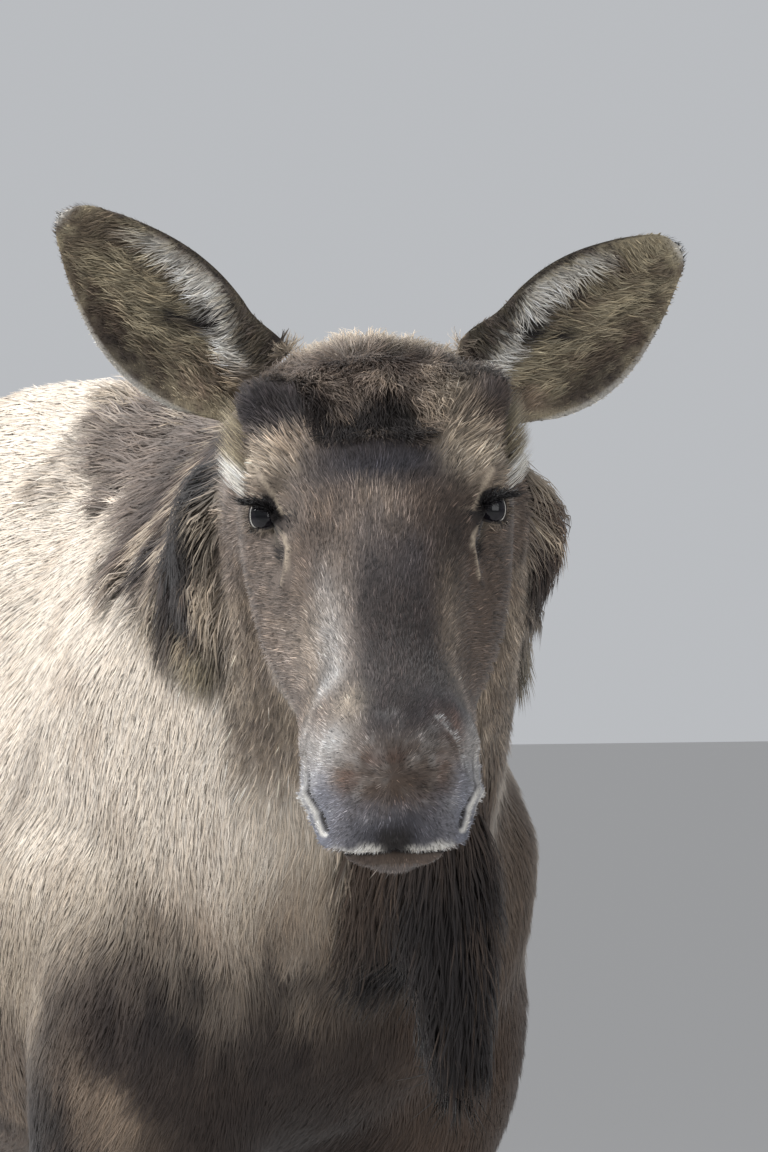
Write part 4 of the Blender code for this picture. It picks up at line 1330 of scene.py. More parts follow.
    # Dark tear duct: partly bare dark skin, partly painted shade in its slit.
    duct = nearness(head, "tear_duct")
    wash("black_brown", ramp(0.01, 0.005, duct) * 0.9)
    spot("black_brown", (0.1, 0.058, 0.002), (0.007, 0.012, 0.01), 1.2, True)
    for which in BOTH:
        away, outside, ahead = eye_angles(head, which)
        close = (away < 0.05) & (ahead > 0)
        over = ramp(0.0, 0.008, (head - eye_centre(which)) @ eye_axes(which)[2])
        wash("oat", close * ramp(0.6, 0.3, outside) * 0.3)
        wash("black_brown", close * ramp(0.1, 0.0, outside - 0.05 - 0.35 * over))
    wash("oat", ramp(0.0034, 0.0014, nearness(head, "tear_line", 0.012)) * 0.65)


def ear_paint(wash, points, normals, side):
    share, wide, _, mask = ear_place(points, side)
    inner = mask * (normals @ np.array(ear_frame(side)[2]) > 0)
    mid, fine = cloud(points, 0.035, 42), cloud(points, 0.01, 41)

    def patch(name, a, b, a_reach, b_reach, strength):
        shape = np.exp(-(((share - a) / a_reach) ** 2) - ((wide - b) / b_reach) ** 2)
        wash(name, inner * shape * strength * (1 + 0.4 * fine))

    wash("brown", mask)
    wash("dark", mask * ramp(0.0, 0.5, mid) * 0.7)
    wash("tan", mask * ramp(0.2, 0.6, fine) * 0.5)
    wash("khaki", inner)
    wash("brown", inner * ramp(-0.3, 0.5, fine + 0.5 * mid) * 0.75)
    patch("brown", 0.6, 0.62, 0.16, 0.2, 0.6)
    patch("dark", 0.44, 0.8, 0.2, 0.18, 0.9)
    patch("khaki", 0.62, 0.12, 0.2, 0.22, 0.6)
    patch("tan", 0.16, 0.55, 0.06, 0.2, 0.8)
    patch("dark", 0.1, 0.42, 0.08, 0.06, 0.8)
    edge = -0.84 + 0.5 * ramp(0.42, 0.04, share)
    low = ramp(0.55, 0.35, share)
    crescent = band(0.17 + 0.08 * low, 0.2 + 0.14 * low, wide - edge) * (0.55 + 0.45 * low)
    lengthwise = ramp(0.78, 0.62, share) * ramp(0.0, 0.08, share)
    wash("white", inner * np.clip(1.5 * crescent, 0, 1) * lengthwise)
    patch("tan", 0.06, 0.1, 0.07, 0.35, 0.7)
    # Painted shade: the dark hole deep in the ear's hollow, and a dark line on the hollow's side of the
    # pale crescent.
    patch("black_brown", 0.31, -0.3, 0.06, 0.22, 1.3)
    patch("black_brown", 0.4, 0.02, 0.06, 0.16, 0.9)
    patch("dark", 0.53, -0.4, 0.15, 0.07, 0.9)
    wash("dark", mask * ramp(0.03, -0.03, wide - edge) * 0.75)
    wash("grey_brown", mask * ramp(0.03, -0.03, wide - edge) * ramp(0.0, 0.6, fine) * 0.5)
    wash("black_brown", mask * band(-0.06, 0.06, wide - edge) * ramp(0.85, 0.6, share) * 0.7)
    # The ear's outer edge and tip: pale hair, brightened with painted rim light.
    wash("white", mask * np.maximum(ramp(0.86, 0.95, wide), ramp(0.95, 0.985, share)) * 0.75)
    wash("oat", mask * ramp(-0.95, -0.98, wide) * 0.7)


def coat_colour(points, normals):
    """Colour of coat and skin at each point, as three columns."""
    paint = Paint(len(points))
    wash = paint.wash
    body_paint(wash, points, normals)
    shares = regions(points)
    fine = cloud(points * (1, 1, 0.3), 0.012, 13)
    x, _, z = to_body(points).T
    bell = shares[:, COLUMN["bell"]]
    wash("black_brown", bell)
    streaked = ramp(0.2, 0.8, fine) * 0.7
    wash("brown", bell * np.maximum(streaked, ramp(1.38, 1.5, z) * 0.6))
    beside = ramp(-0.06, -0.115, x) * ramp(1.12, 1.24, z)
    wash("brown", bell * beside * (0.75 + 0.3 * fine))
    wash("brown", shares[:, COLUMN["tail"]])
    face_paint(wash, points, shares[:, HEAD_COLUMNS].sum(axis=1))
    for side in BOTH:
        ear_paint(wash, points, normals, side)
    return paint.colour


# ---- tufts ----
class Skin:
    """The skin's triangles, ready for scattering roots over them."""

    def __init__(self):
        mesh = bpy.data.objects["body_skin"].data
        self.tree = search_tree(mesh)
        self.points = points_of(mesh)
        self.normals = normals_of(mesh)
        self.corners = corners_of(mesh)
        flat = rows_of(mesh.uv_layers["OFBake"].data, "uv", 2, np.float32)
        self.unwrap = flat[rows_of(mesh.loop_triangles, "loops", 3)]
        a, b, c = self.points[self.corners.T]
        self.area = np.linalg.norm(np.cross(b - a, c - a), axis=1) / 2
        self.middle = (a + b + c) / 3
        self.shares = regions(self.middle)

    def sow(self, density, seed):
        """Roots spread at random over the triangles at this many in each square metre:
        place, normal and place on the unwrap."""
        random = np.random.default_rng(seed)
        wanted = density * self.area * sizes().fullness
        chosen = np.repeat(np.arange(len(wanted)), random.poisson(wanted))
        u, v = random.random((2, len(chosen)))
        flip = u + v > 1
        u, v = np.where(flip, 1 - u, u), np.where(flip, 1 - v, v)
        weights = np.stack([1 - u - v, u, v], axis=1)[:, :, None]
        corners = self.corners[chosen]
        points = (self.points[corners] * weights).sum(axis=1)
        normals = unit((self.normals[corners] * weights).sum(axis=1))
        return points, normals, (self.unwrap[chosen] * weights).sum(axis=1)

    def nearest(self, points):
        """The nearest places on the skin, the ways straight out there, and the unwrap there."""
        found = [self.tree.find_nearest(point) for point in points.tolist()]
        there = self.unwrap[[f[2] for f in found]].mean(axis=1)
        return np.array([f[0] for f in found]), np.array([f[1] for f in found]), there


def skin():
    if "skin" not in KEPT:
        KEPT["skin"] = Skin()
    return KEPT["skin"]


def spread(random, count, low, high):
    return low + (high - low) * random.random(count)


def tuft_rows(roots, way, length, height, segments, curl, hug, random):
    """Places along the middle of each tuft, from root to tip, and the way across it."""
    points, normals, _ = roots
    count = len(points)
    across = unit(np.cross(way, normals))
    way = unit(way + across * spread(random, count, -0.22, 0.22)[:, None])
    across = unit(np.cross(way, normals))
    bent = curl * random.normal(size=count)
    phase = spread(random, count, 0, math.tau)
    drop = np.zeros((count, 3))
    if hug:
        tip = points + way * (length * 0.93)[:, None]
        ground, out, _ = skin().nearest(tip)
        facing = (out * normals).sum(axis=1) > -0.2
        drop = np.where(facing[:, None], ground - tip, 0.0)
        far = np.linalg.norm(drop, axis=1)
        drop *= np.minimum(1.0, 0.5 * length / np.maximum(far, 1e-6))[:, None]
    rows = []
    for k in range(segments + 1):
        t = k / segments
        rise = math.sin(math.pi / 2 * min(1.0, t * 1.15)) ** 0.9
        spot = points + way * (length * 0.95 * t)[:, None] + drop * t * t
        spot = spot + normals * (height * rise - 0.0012 * (1 - t))[:, None]
        wave = bent * length * (np.sin(2.6 * t + phase) - np.sin(phase))
        rows.append(spot + across * wave[:, None])
    return rows, across


def tuft_faces(count, segments):
    """Triangles of closed three-sided tufts, each of three vertices to a ring and a tip."""
    per = 3 * segments + 1
    sides = ((0, 2), (2, 1), (1, 0))
    pattern = [(0, 1, 2)]
    for ring in range(segments - 1):
        low, high = 3 * ring, 3 * ring + 3
        for i, j in sides:
            pattern += [(low + i, low + j, high + j), (low + i, high + j, high + i)]
    last = 3 * (segments - 1)
    pattern += [(last + i, last + j, per - 1) for i, j in sides]
    return (np.arange(count)[:, None, None] * per + np.array(pattern)).reshape(-1, 3)


def tuft_mesh(name, vertices, faces, normals, soft_light):
    """A mesh from arrays, shaded partly as the skin below it so that it looks soft."""
    mesh = bpy.data.meshes.new(name)
    mesh.vertices.add(len(vertices))
    mesh.vertices.foreach_set("co", vertices.astype(np.float32).ravel())
    mesh.loops.add(len(faces) * 3)
    mesh.loops.foreach_set("vertex_index", faces.astype(np.int32).ravel())
    mesh.polygons.add(len(faces))
    mesh.polygons.foreach_set("loop_start", np.arange(len(faces), dtype=np.int32) * 3)
    mesh.polygons.foreach_set("use_smooth", np.ones(len(faces), bool))
    mesh.update(calc_edges=True)
    soft = unit(normals_of(mesh) * (1 - soft_light) + normals * soft_light)
    mesh.normals_split_custom_set_from_vertices(soft.tolist())
    return mesh


def grow(name, roots, length, width, height, colours, slot, seed, segments=1, curl=0.0,
         lie=None, stray=0.16, hug=False, dark_root=0.7, bright_tip=1.14, flat=0.45,
         vary=0.12, clump=0.014, patchy=0.14, combed=False, soft_light=0.6, lifted=0.9):
    """One mesh of tapering closed tufts, each with a ridge along its back."""
    points, normals, unwrap = roots
    random = np.random.default_rng(seed)
    count = len(points)
    way = lie_of_coat(points, normals, stray) if lie is None else lie
    grain = to_head(points) * (1.0, 0.35, 0.5) if combed else points
    lump = cloud(grain, clump, 71) + 0.6 * cloud(grain, clump * 0.4, 72)
    ruffle = 1 + 0.3 * cloud(points, 0.03, 61) + 0.35 * lump
    length = length * spread(random, count, 0.72, 1.2) * sizes().hair_length
    width = width * spread(random, count, 0.75, 1.25)
    height = height * lifted * spread(random, count, 0.6, 1.12) * ruffle
    rows, across = tuft_rows(roots, way, length, height, segments, curl, hug, random)
    rings = []
    for k in range(segments):
        half = (width / 2 * (1 - k / segments) ** 0.75 * (1.0 if k else 0.86))[:, None]
        ridge = normals * flat * 2
        rings += [rows[k] - across * half, rows[k] + across * half, rows[k] + ridge * half]
    rings.append(rows[-1])
    per = 3 * segments + 1
    faces = tuft_faces(count, segments)
    places = np.stack(rings, axis=1).reshape(-1, 3)
    mesh = tuft_mesh(name, places, faces, np.repeat(normals, per, axis=0), soft_light)

    t = np.array([k / segments for k in range(segments) for _ in range(3)] + [1.0])
    wide = np.array([0.0, 1.0, 0.5] * segments + [0.5])
    patch = np.stack([wide - 0.5, t - 0.5], axis=1)[None] * 0.003
    bake = (unwrap[:, None, :] + patch).reshape(-1, 2)[faces.ravel()]
    own = np.empty((count, per, 2))
    own[:, :, 0] = wide[None] + spread(random, count, 0, 90)[:, None].round()
    own[:, :, 1] = t[None] * (length[:, None] / 0.05)
    own = own.reshape(-1, 2)[faces.ravel()]
    mesh.uv_layers.new(name="OFBake").data.foreach_set("uv", bake.astype(np.float32).ravel())
    mesh.uv_layers.new(name="Lock").data.foreach_set("uv", own.astype(np.float32).ravel())
    mesh.uv_layers["OFBake"].active = True
    mesh.uv_layers["OFBake"].active_render = True

    # Painted shade: each tuft is painted darker at its root, where the tufts over it shade it, and lighter
    # towards its tip.
    shade = (dark_root + (bright_tip - dark_root) * t**0.8)[None, :, None]
    tone_shift = np.exp(vary * random.normal(size=count)) * np.clip(1 + patchy * lump, 0.25, 2)
    tone_shift = tone_shift[:, None, None]
    warmth = spread(random, count, -0.035, 0.035)[:, None, None] * np.array([1.0, 0.1, -1.0])
    colours = np.clip(colours[:, None, :] * shade * tone_shift * (1 + warmth), 0, 0.95)
    paint_mesh(mesh, "coat", colours.reshape(-1, 3))
    return finish_piece(add_object(name, mesh), coat_material(), slot)


def sown(names, seed, where=None):
    """Roots of the coat of some regions, and its depth, length and width there."""
    ground = skin()
    density = np.zeros(len(ground.area))
    for region in names:
        density += ground.shares[:, COLUMN[region]] * COAT[region][3]
    if where is not None:
        density = density * where(ground.middle)
    roots = ground.sow(density, seed)
    keep = clear_of_openings(roots[0])
    roots = tuple(part[keep] for part in roots)
    depth, length, width = (regions(roots[0]) @ COAT_ROWS[:, :3]).T
    head = to_head(roots[0])
    beside = np.minimum(nearness(head, "nostril") - 0.008, nearness(head, "mouth") - 0.003)
    beside = np.minimum(beside, 2.0 * nearness(head, "tear_line", 0.012) - 0.004)
    return roots, (depth, length * (0.4 + 0.6 * ramp(0.0, 0.016, beside)), width)


def coat_piece(name, names, slot, seed, where=None, **more):
    roots, (depth, length, width) = sown(names, seed, where)
    colours = coat_colour(roots[0], roots[1])
    return grow(name, roots, length, width, depth, colours, slot, seed + 1, **more)


def clear_of_openings(points):
    """True where hair grows: not in the lids' openings, the nostrils or the mouth."""
    head = to_head(points)
    keep = (nearness(head, "nostril") > 0.0082) & (nearness(head, "mouth") > 0.004)
    keep &= nearness(head, "tear_line", 0.012) > 0.0028
    for side in BOTH:
        away, outside, ahead = eye_angles(head, side)
        keep &= ~((away < 0.04) & (ahead > -0.1) & (outside < 0.22))
    return keep


# ---- materials ----
def set_sockets(node, sockets):
    for socket, number in sockets.items():
        node.inputs[socket.replace("_", " ")].default_value = number
    return node


def add_node(tree, kind, **sockets):
    """A shader node with some sockets set, underscores standing for spaces."""
    return set_sockets(tree.nodes.new("ShaderNode" + kind), sockets)


def wire(tree, *wires):
    """Joins sockets, each wire given as a node, its output, the next node and its input."""
    for source, output, sink, entry in wires:
        tree.links.new(source.outputs[output], sink.inputs[entry])


def new_material(name, roughness, **sockets):
    """A material, its Principled node and its node tree."""
    material = bpy.data.materials.new(name)
    material.use_nodes = True
    shader = material.node_tree.nodes["Principled BSDF"]
    set_sockets(shader, {"Roughness": roughness, **sockets})
    return material, shader, material.node_tree


def attribute_node(tree, name):
    node = add_node(tree, "Attribute")
    node.attribute_name = name
    return node


def math_node(tree, operation, first):
    node = add_node(tree, "Math")
    node.operation = operation
    node.inputs[0].default_value = first
    return node


def vector_node(tree, operation):
    node = add_node(tree, "VectorMath")
    node.operation = operation
    return node


def hair_group():
    """Node group: fine streaks that run along the hair, as a tone and a height."""
    if "Hair streaks" in bpy.data.node_groups:
        return bpy.data.node_groups["Hair streaks"]
    group = bpy.data.node_groups.new("Hair streaks", "ShaderNodeTree")
    for name, side, kind in (
        ("Vector", "INPUT", "NodeSocketVector"),
        ("Hairs", "INPUT", "NodeSocketFloat"),
        ("Contrast", "INPUT", "NodeSocketFloat"),
        ("Tone", "OUTPUT", "NodeSocketFloat"),
        ("Height", "OUTPUT", "NodeSocketFloat"),
    ):
        group.interface.new_socket(name, in_out=side, socket_type=kind)
    source, sink = group.nodes.new("NodeGroupInput"), group.nodes.new("NodeGroupOutput")
    combine = add_node(group, "CombineXYZ", Y=0.9, Z=1.0)
    stretch = vector_node(group, "MULTIPLY")
    noise = add_node(group, "TexNoise", Scale=1.0, Detail=2.0)
    spreading = add_node(group, "MapRange", From_Min=0.25, From_Max=0.75)
    low, high = math_node(group, "SUBTRACT", 1.0), math_node(group, "ADD", 1.0)
    wire(
        group,
        (source, "Hairs", combine, "X"),
        (source, "Vector", stretch, 0),
        (combine, 0, stretch, 1),
        (stretch, 0, noise, "Vector"),
        (noise, "Fac", spreading, "Value"),
        (source, "Contrast", low, 1),
        (source, "Contrast", high, 1),
        (low, 0, spreading, "To Min"),
        (high, 0, spreading, "To Max"),
        (spreading, 0, sink, "Tone"),
        (noise, "Fac", sink, "Height"),
    )
    return group


def hair_material(name, combing, hairs, contrast, roughness, bump_depth, sheen):
    """Hair whose colour is kept at the vertices, with streaks along it in tone and height.
    combing(tree) makes the node whose vector runs along the hair, and names its output."""
    material, shader, tree = new_material(
        name, roughness, Specular_IOR_Level=0.25, Sheen_Weight=sheen, Sheen_Roughness=0.45
    )
    streaks = add_node(tree, "Group")
    streaks.node_tree = hair_group()
    set_sockets(streaks, {"Hairs": hairs, "Contrast": contrast})
    tinted = vector_node(tree, "SCALE")
    bump = add_node(tree, "Bump", Strength=0.5, Distance=bump_depth)
    wire(
        tree,
        (*combing(tree), streaks, "Vector"),
        (attribute_node(tree, "coat"), "Color", tinted, 0),
        (streaks, "Tone", tinted, "Scale"),
        (tinted, 0, shader, "Base Color"),
        (streaks, "Height", bump, "Height"),
        (bump, 0, shader, "Normal"),
    )
    return material


def coat_material():
    """The tufts, combed along their own length."""
    def lock(tree):
        node = add_node(tree, "UVMap")
        node.uv_map = "Lock"
        return node, 0

    if "coat_hair" in bpy.data.materials:
        return bpy.data.materials["coat_hair"]
    return hair_material("coat_hair", lock, 6.0, 0.38, 0.62, 0.0006, 0.15)


def skin_material():
    """The skin under the coat, with the short flat hair of face and feet as bump."""
    def comb(tree):
        return attribute_node(tree, "comb"), "Vector"

    return hair_material("short_hair", comb, 1.0, 0.3, 0.66, 0.001, 0.1)


def speckled_material(name, roughness, dark, pale, scale, **sockets):
    """A plain finish between two tones, mixed by fine noise."""
    material, shader, tree = new_material(name, roughness, **sockets)
    noise = add_node(tree, "TexNoise", Scale=scale)
    mix = add_node(tree, "Mix")
    mix.data_type = "RGBA"
    set_sockets(mix, {"A": shader_colour(dark), "B": shader_colour(pale)})
    wire(tree, (noise, "Fac", mix, "Factor"), (mix, "Result", shader, "Base Color"))
    return material


def horn_material():
    """Hoof horn with growth rings and a faint gloss."""
    material, shader, tree = new_material("hoof_horn", 0.38)
    place = add_node(tree, "TexCoord")
    stretch = add_node(tree, "Mapping", Scale=(25.0, 25.0, 170.0))
    noise = add_node(tree, "TexNoise", Scale=1.0, Detail=4.0)
    shades = add_node(tree, "ValToRGB")
    for element, name in zip(shades.color_ramp.elements, ("horn_dark", "horn_pale")):
        element.color = shader_colour(name)
    bump = add_node(tree, "Bump", Distance=0.0015, Strength=0.5)
    wire(
        tree,
        (place, "Object", stretch, "Vector"),
        (stretch, 0, noise, "Vector"),
        (noise, "Fac", shades, "Fac"),
        (shades, "Color", shader, "Base Color"),
        (noise, "Fac", bump, "Height"),
        (bump, 0, shader, "Normal"),
    )
    return material


# ---- skin ----
def on_head(points):
    on_ears = [ear_place(points, side)[3] > 0 for side in BOTH]
    return (headness(points) > 0.02) | np.any(on_ears, axis=0)


def on_features(points):
    """Muzzle and the surroundings of the eyes."""
    head = to_head(points)
    near_eye = np.linalg.norm(folded(head) - eye_centre(1), axis=1) < 0.042
    lips = (head[:, 1] > 0.3) & (head[:, 2] > -0.14)
    return (headness(points) > 0.5) & (near_eye | lips)


def on_openings(points):
    """Rims of lids, nostrils and mouth."""
    head = to_head(points)
    chosen = (nearness(head, "nostril") < 0.016) | (nearness(head, "mouth") < 0.009)
    chosen &= head[:, 1] > 0.3
    for side in BOTH:
        away, outside, ahead = eye_angles(head, side)
        chosen |= (away < 0.04) & (ahead > 0.0) & (np.abs(outside) < 0.32)
    return chosen


def thin_body(body):
    """Fewer, larger faces where long coat hides the skin."""
    group = body.vertex_groups.new(name="coated")
    coated = np.nonzero(~on_head(points_of(body.data)))[0]
    group.add(coated.tolist(), 1.0, "REPLACE")
    thinning = body.modifiers.new("thin", "DECIMATE")
    thinning.ratio = 0.5
    thinning.vertex_group = "coated"
    applied(body)
    body.vertex_groups.clear()


def join_ears(body):
    for side in BOTH:
        ear = add_object("ear", ear_mesh(side))
        union = body.modifiers.new("ear", "BOOLEAN")
        union.operation = "UNION"
        union.object = ear
        union.solver = "EXACT"
        applied(body)
        bpy.data.objects.remove(ear)
    points = points_of(body.data)
    roots = [root + along * 0.03 for root, along, _ in map(ear_frame, BOTH)]
    hold = 0.5 * ramp(0.075, 0.045, distance_to(points, roots))
    put_points(body.data, relaxed(points, body.data, hold, 10))


def unwrap(obj):
    """A flat map of the surface, named OFBake, on which every piece of coat is placed."""
    obj.data.uv_layers.new(name="OFBake")
    for other in bpy.context.selected_objects:
        other.select_set(False)
    bpy.context.view_layer.objects.active = obj
    obj.select_set(True)
    bpy.ops.object.mode_set(mode="EDIT")
    bpy.ops.mesh.select_all(action="SELECT")
    bpy.ops.uv.smart_project(angle_limit=1.15, island_margin=0.001)
    bpy.ops.object.mode_set(mode="OBJECT")


def keep_comb(mesh, points):
    """Coordinates for the flat hair's streaks: fine across the hair, slow along it."""
    head = to_head(points)
    whorl = head - np.array(MUZZLE_WHORL)
    distance = np.linalg.norm(whorl, axis=1)
    angle = np.arctan2(whorl[:, 0], -(whorl[:, 1] * 0.3 + whorl[:, 2]))
    radial = np.stack([angle * 90, distance * 130, distance * 0], axis=1)
    straight = head * np.array([900.0, 150.0, 900.0])
    comb = np.where(distance[:, None] < 0.125, radial, straight)
    layer = mesh.attributes.new("comb", "FLOAT_VECTOR", "POINT")
    layer.data.foreach_set("vector", comb.astype(np.float32).ravel())


def build_skin():
    body = melted_body()
    thin_body(body)
    finer(body, on_head)
    finer(body, on_features)
    points = points_of(body.data)
    depth = relaxed(coat_depth(points), body.data, 0.6, 12)[:, 0]
    put_points(body.data, points - normals_of(body.data) * depth[:, None])
    join_ears(body)
    points = points_of(body.data)
    drawn_in = from_head(narrowed(to_head(points)))
    put_points(body.data, mixed(points, drawn_in, headness(points)))
    trace_paths(body)
    finer(body, on_openings)
    points = points_of(body.data)
    moved = sculpted(to_head(points), normals_of(body.data) @ HEAD_BASIS.T)
    shaped = headness(points) > 0.5
    put_points(body.data, np.where(shaped[:, None], from_head(moved), points))
    body.data.shade_smooth()
    unwrap(body)
    points = points_of(body.data)
    # Painted shade: the skin is painted darker than the coat above it, as shade under the tufts.
    paint_mesh(body.data, "coat", coat_colour(points, normals_of(body.data)) * 0.85)
    keep_comb(body.data, points)
    finish_piece(body, skin_material(), "body_coat", FLESH)


# ---- coat of each part ----
def grow_face():
    for number, (label, side) in enumerate(SIDES.items()):
        def half(points, side=side):
            return to_head(points)[:, 0] * side > 0

        coat_piece(f"coat_face_{label}", ["face", "muzzle"], "head_coat", 101 + 3 * number, half,
                   stray=0.2, dark_root=0.5, bright_tip=1.3, vary=0.42, clump=0.008,
                   patchy=0.6, combed=True)
    coat_piece("coat_brows", ["brow"], "head_coat", 107, segments=2, curl=0.05, vary=0.35,
               clump=0.01, patchy=0.6, stray=0.25)
    coat_piece("coat_jaw", ["jaw"], "muzzle_coat", 111, vary=0.35, clump=0.011, patchy=0.45,
               combed=True)
    grow_temples()


def grow_temples():
    """Long pale hair from behind the eye up to the lower edge of the ear's base."""
    def beside_temple(points):
        return nearness(to_head(points), "temple") < 0.02

    roots, _ = sown(["face", "brow", "crown", "ear", "mane"], 114, beside_temple)
    points = roots[0]
    across, forward, rise = to_head(points).T
    way = unit(mirrored(across, 0.62, -0.62, 0.5) @ HEAD_BASIS)
    paint = Paint(len(points))
    paint.wash("khaki", np.ones(len(points)))
    paint.wash("brown", ramp(0.0, 0.6, cloud(points, 0.008, 65)) * 0.7)
    paint.wash("white", ramp(-0.063, -0.05, forward - rise + 0.006 * cloud(points, 0.01, 64)) * 0.85)
    grow("coat_temples", roots, 0.034, 0.0015, 0.006, paint.colour, "head_coat", 115, segments=2,
         curl=0.1, lie=way, dark_root=0.6, vary=0.32)


def grow_crown():
    roots, (depth, length, width) = sown(["crown"], 121)
    points, normals, _ = roots
    across, forward, _ = to_head(points).T
    ones = np.ones(len(points))
    ahead = np.stack([across * 3, ones, -0.3 * ones], axis=1) @ HEAD_BASIS
    back = np.stack([across * 4, -ones, 0.2 * ones], axis=1) @ HEAD_BASIS
    way = mixed(ahead, back, ramp(-0.125, -0.15, forward)) + swirls(points, 0.03, 51) * 1.1
    way = along_skin(way, normals)
    height = depth * (1.0 + 0.55 * cloud(points, 0.024, 55)) * (1 - 0.35 * ramp(-0.05, -0.03, forward))
    colours = coat_colour(points, normals)
    behind = ramp(0.07, 0.09, np.abs(across)) * ramp(-0.165, -0.19, forward)
    length = np.minimum(length, 0.023) * (1 - 0.6 * behind)
    grow("coat_crown", roots, length, width, height, colours, "head_coat", 122, segments=3,
         curl=0.22, lie=way, dark_root=0.5, bright_tip=1.15, vary=0.22, clump=0.01, patchy=0.45)


def ear_roots(seed, inside):
    """Roots on the hollow or the rounded face of both ears."""
    roots, _ = sown(["ear"], seed)
    points, normals, _ = roots
    within = np.zeros(len(points), bool)
    for side in BOTH:
        mask = ear_place(points, side)[3] > 0.2
        within |= mask & (normals @ np.array(ear_frame(side)[2]) > 0.1)
    return tuple(part[within == inside] for part in roots)


def grow_ears():
    roots = ear_roots(131, False)
    colours = coat_colour(*roots[:2])
    grow("coat_ears_outside", roots, 0.011, 0.0016, 0.0028, colours, "head_coat", 132, vary=0.35,
         clump=0.008, patchy=0.4)
    roots = ear_roots(134, True)
    points, normals, _ = roots
    colours = coat_colour(points, normals)
    depth = np.zeros(len(points))
    for side in BOTH:
        share, wide, _, mask = ear_place(points, side)
        long_hair = ramp(0.9, 0.35, wide) * ramp(-0.95, -0.6, wide) * ramp(0.98, 0.75, share)
        depth = np.maximum(depth, (mask > 0.2) * (0.16 + 0.84 * long_hair))
    length = sizes().ear_hair * depth * (1 + 0.25 * cloud(points, 0.02, 62))
    grow("coat_ears_inside", roots, length, 0.0017, 0.01 * depth, colours, "head_coat", 135,
         segments=2, curl=0.1, stray=0.34, dark_root=0.55, bright_tip=1.2, vary=0.28,
         clump=0.01, patchy=0.4)


def half_body(points, side):
    """True on the body's left or right half."""
    return to_body(points)[:, 0] * side > 0


def grow_neck():
    for number, (name, side) in enumerate(SIDES.items()):
        def clear_of_ears(points, side=side):
            roots = [ear_frame(side)[0] for side in BOTH]
            return half_body(points, side) & (distance_to(points, roots) > 0.115)

        coat_piece(f"mane_{name}", ["mane"], "body_coat", 141 + 4 * number, clear_of_ears,
                   segments=2, curl=0.08, stray=0.42, hug=True, dark_root=0.6, bright_tip=1.2,
                   vary=0.2, clump=0.022, patchy=0.4)
    coat_piece("bell_hair", ["bell"], "bell_hair", 161, segments=3, curl=0.04, stray=0.1)


def grow_body():
    soft = {"hug": True, "dark_root": 0.92, "bright_tip": 1.04, "stray": 0.18, "clump": 0.011}
    soft.update(soft_light=0.88, lifted=0.45, vary=0.1, patchy=0.1)
    for number, (name, side) in enumerate(SIDES.items()):
        def half(points, side=side):
            return half_body(points, side)

        coat_piece(f"coat_shoulder_{name}", ["shoulder"], "body_coat", 171 + 4 * number, half, **soft)
        coat_piece(f"coat_trunk_{name}", ["trunk"], "body_coat", 191 + 4 * number, half, **soft)
    coat_piece("coat_tail", ["tail"], "head_coat", 211)


def grow_legs():
    coat_piece("coat_upper_legs", ["upper_leg"], "upper_leg_coat", 221, hug=True)
    coat_piece("coat_lower_legs", ["lower_leg", "foot"], "lower_leg_coat", 231)


# ---- eyes and lashes ----
def build_eyes():
    gloss = {"IOR": 1.34, "Coat_Weight": 0.12, "Coat_Roughness": 0.02}
    material, shader, tree = new_material("wet_eye", 0.04, **gloss)
    wire(tree, (attribute_node(tree, "iris"), "Color", shader, "Base Color"))
    for label, side in SIDES.items():
        face, along, up = eye_axes(side)
        mesh = dome_mesh(f"eyeball_{label}", Vector(), Matrix.Identity(3), 112, 72)
        ball = points_of(mesh)
        toward = ball @ face
        bulge = ramp(0.7, 0.92, toward) * 0.0012
        put_points(mesh, from_head(eye_centre(side) + ball * (EYE_RADIUS + bulge)[:, None]))
        mesh.shade_smooth()
        a, b = ball @ along, ball @ up
        iris = ramp(0.66, 0.6, np.hypot(a, b)) * (toward > 0)
        streak = 0.8 + 0.2 * np.sin(np.arctan2(b, a) * 40)
        pupil = ramp(1.05, 0.85, np.hypot(a / 0.38, b / 0.22)) * (toward > 0)
        around = tone_of("black_brown") * 1.6 * np.ones((len(ball), 1))
        colours = mixed(around, tone_of("iris") * streak[:, None], iris)
        colours = mixed(colours, tone_of("pupil"), pupil)
        turn, lift = np.arctan2(a, toward), np.arctan2(b, toward)
        # A thin white crescent along the lower lid: the eye's wet rim, with a painted highlight of
        # reflected light.
        wet_rim_glint = band(0.075, 0.09, lift - lid_arch(turn, False)) * ramp(-0.3, 0.1, turn) * (toward > 0)
        paint_mesh(mesh, "iris", mixed(colours, tone_of("white"), wet_rim_glint))
        finish_piece(add_object(f"eyeball_{label}", mesh), material, "eye", [f"eye_{label}"])


def lash_spines(side, above, count, length, random):
    """Middle line of each lash of one lid, in the head's axes, and the way across it."""
    face, along, up = eye_axes(side)
    sense = 1.0 if above else -1.0
    for k in range(count):
        share = k / (count - 1)
        a = -0.36 + 1.1 * share
        b = lid_arch(a, above) + (0.05 + 0.14 * random.random()) * sense
        out = unit(face + math.tan(a) * along + math.tan(b) * up)
        place = eye_centre(side) + out * (EYE_RADIUS + 0.0022)
        reach = length * (0.45 + 0.65 * share) * random.uniform(0.7, 1.15)
        way = out * 0.75 + np.array([side * (0.25 + 0.9 * share), 0.12, -0.28])
        way = unit(way + random.normal(size=3) * 0.2)
        bend = np.array([side * 0.1, 0, 0.05]) + up * sense * 0.15 + random.normal(size=3) * 0.06
        spine = [place + way * reach * t + bend * reach * t * t for t in (0, 0.35, 0.7, 1)]
        yield spine, unit(np.cross(way, up)), up


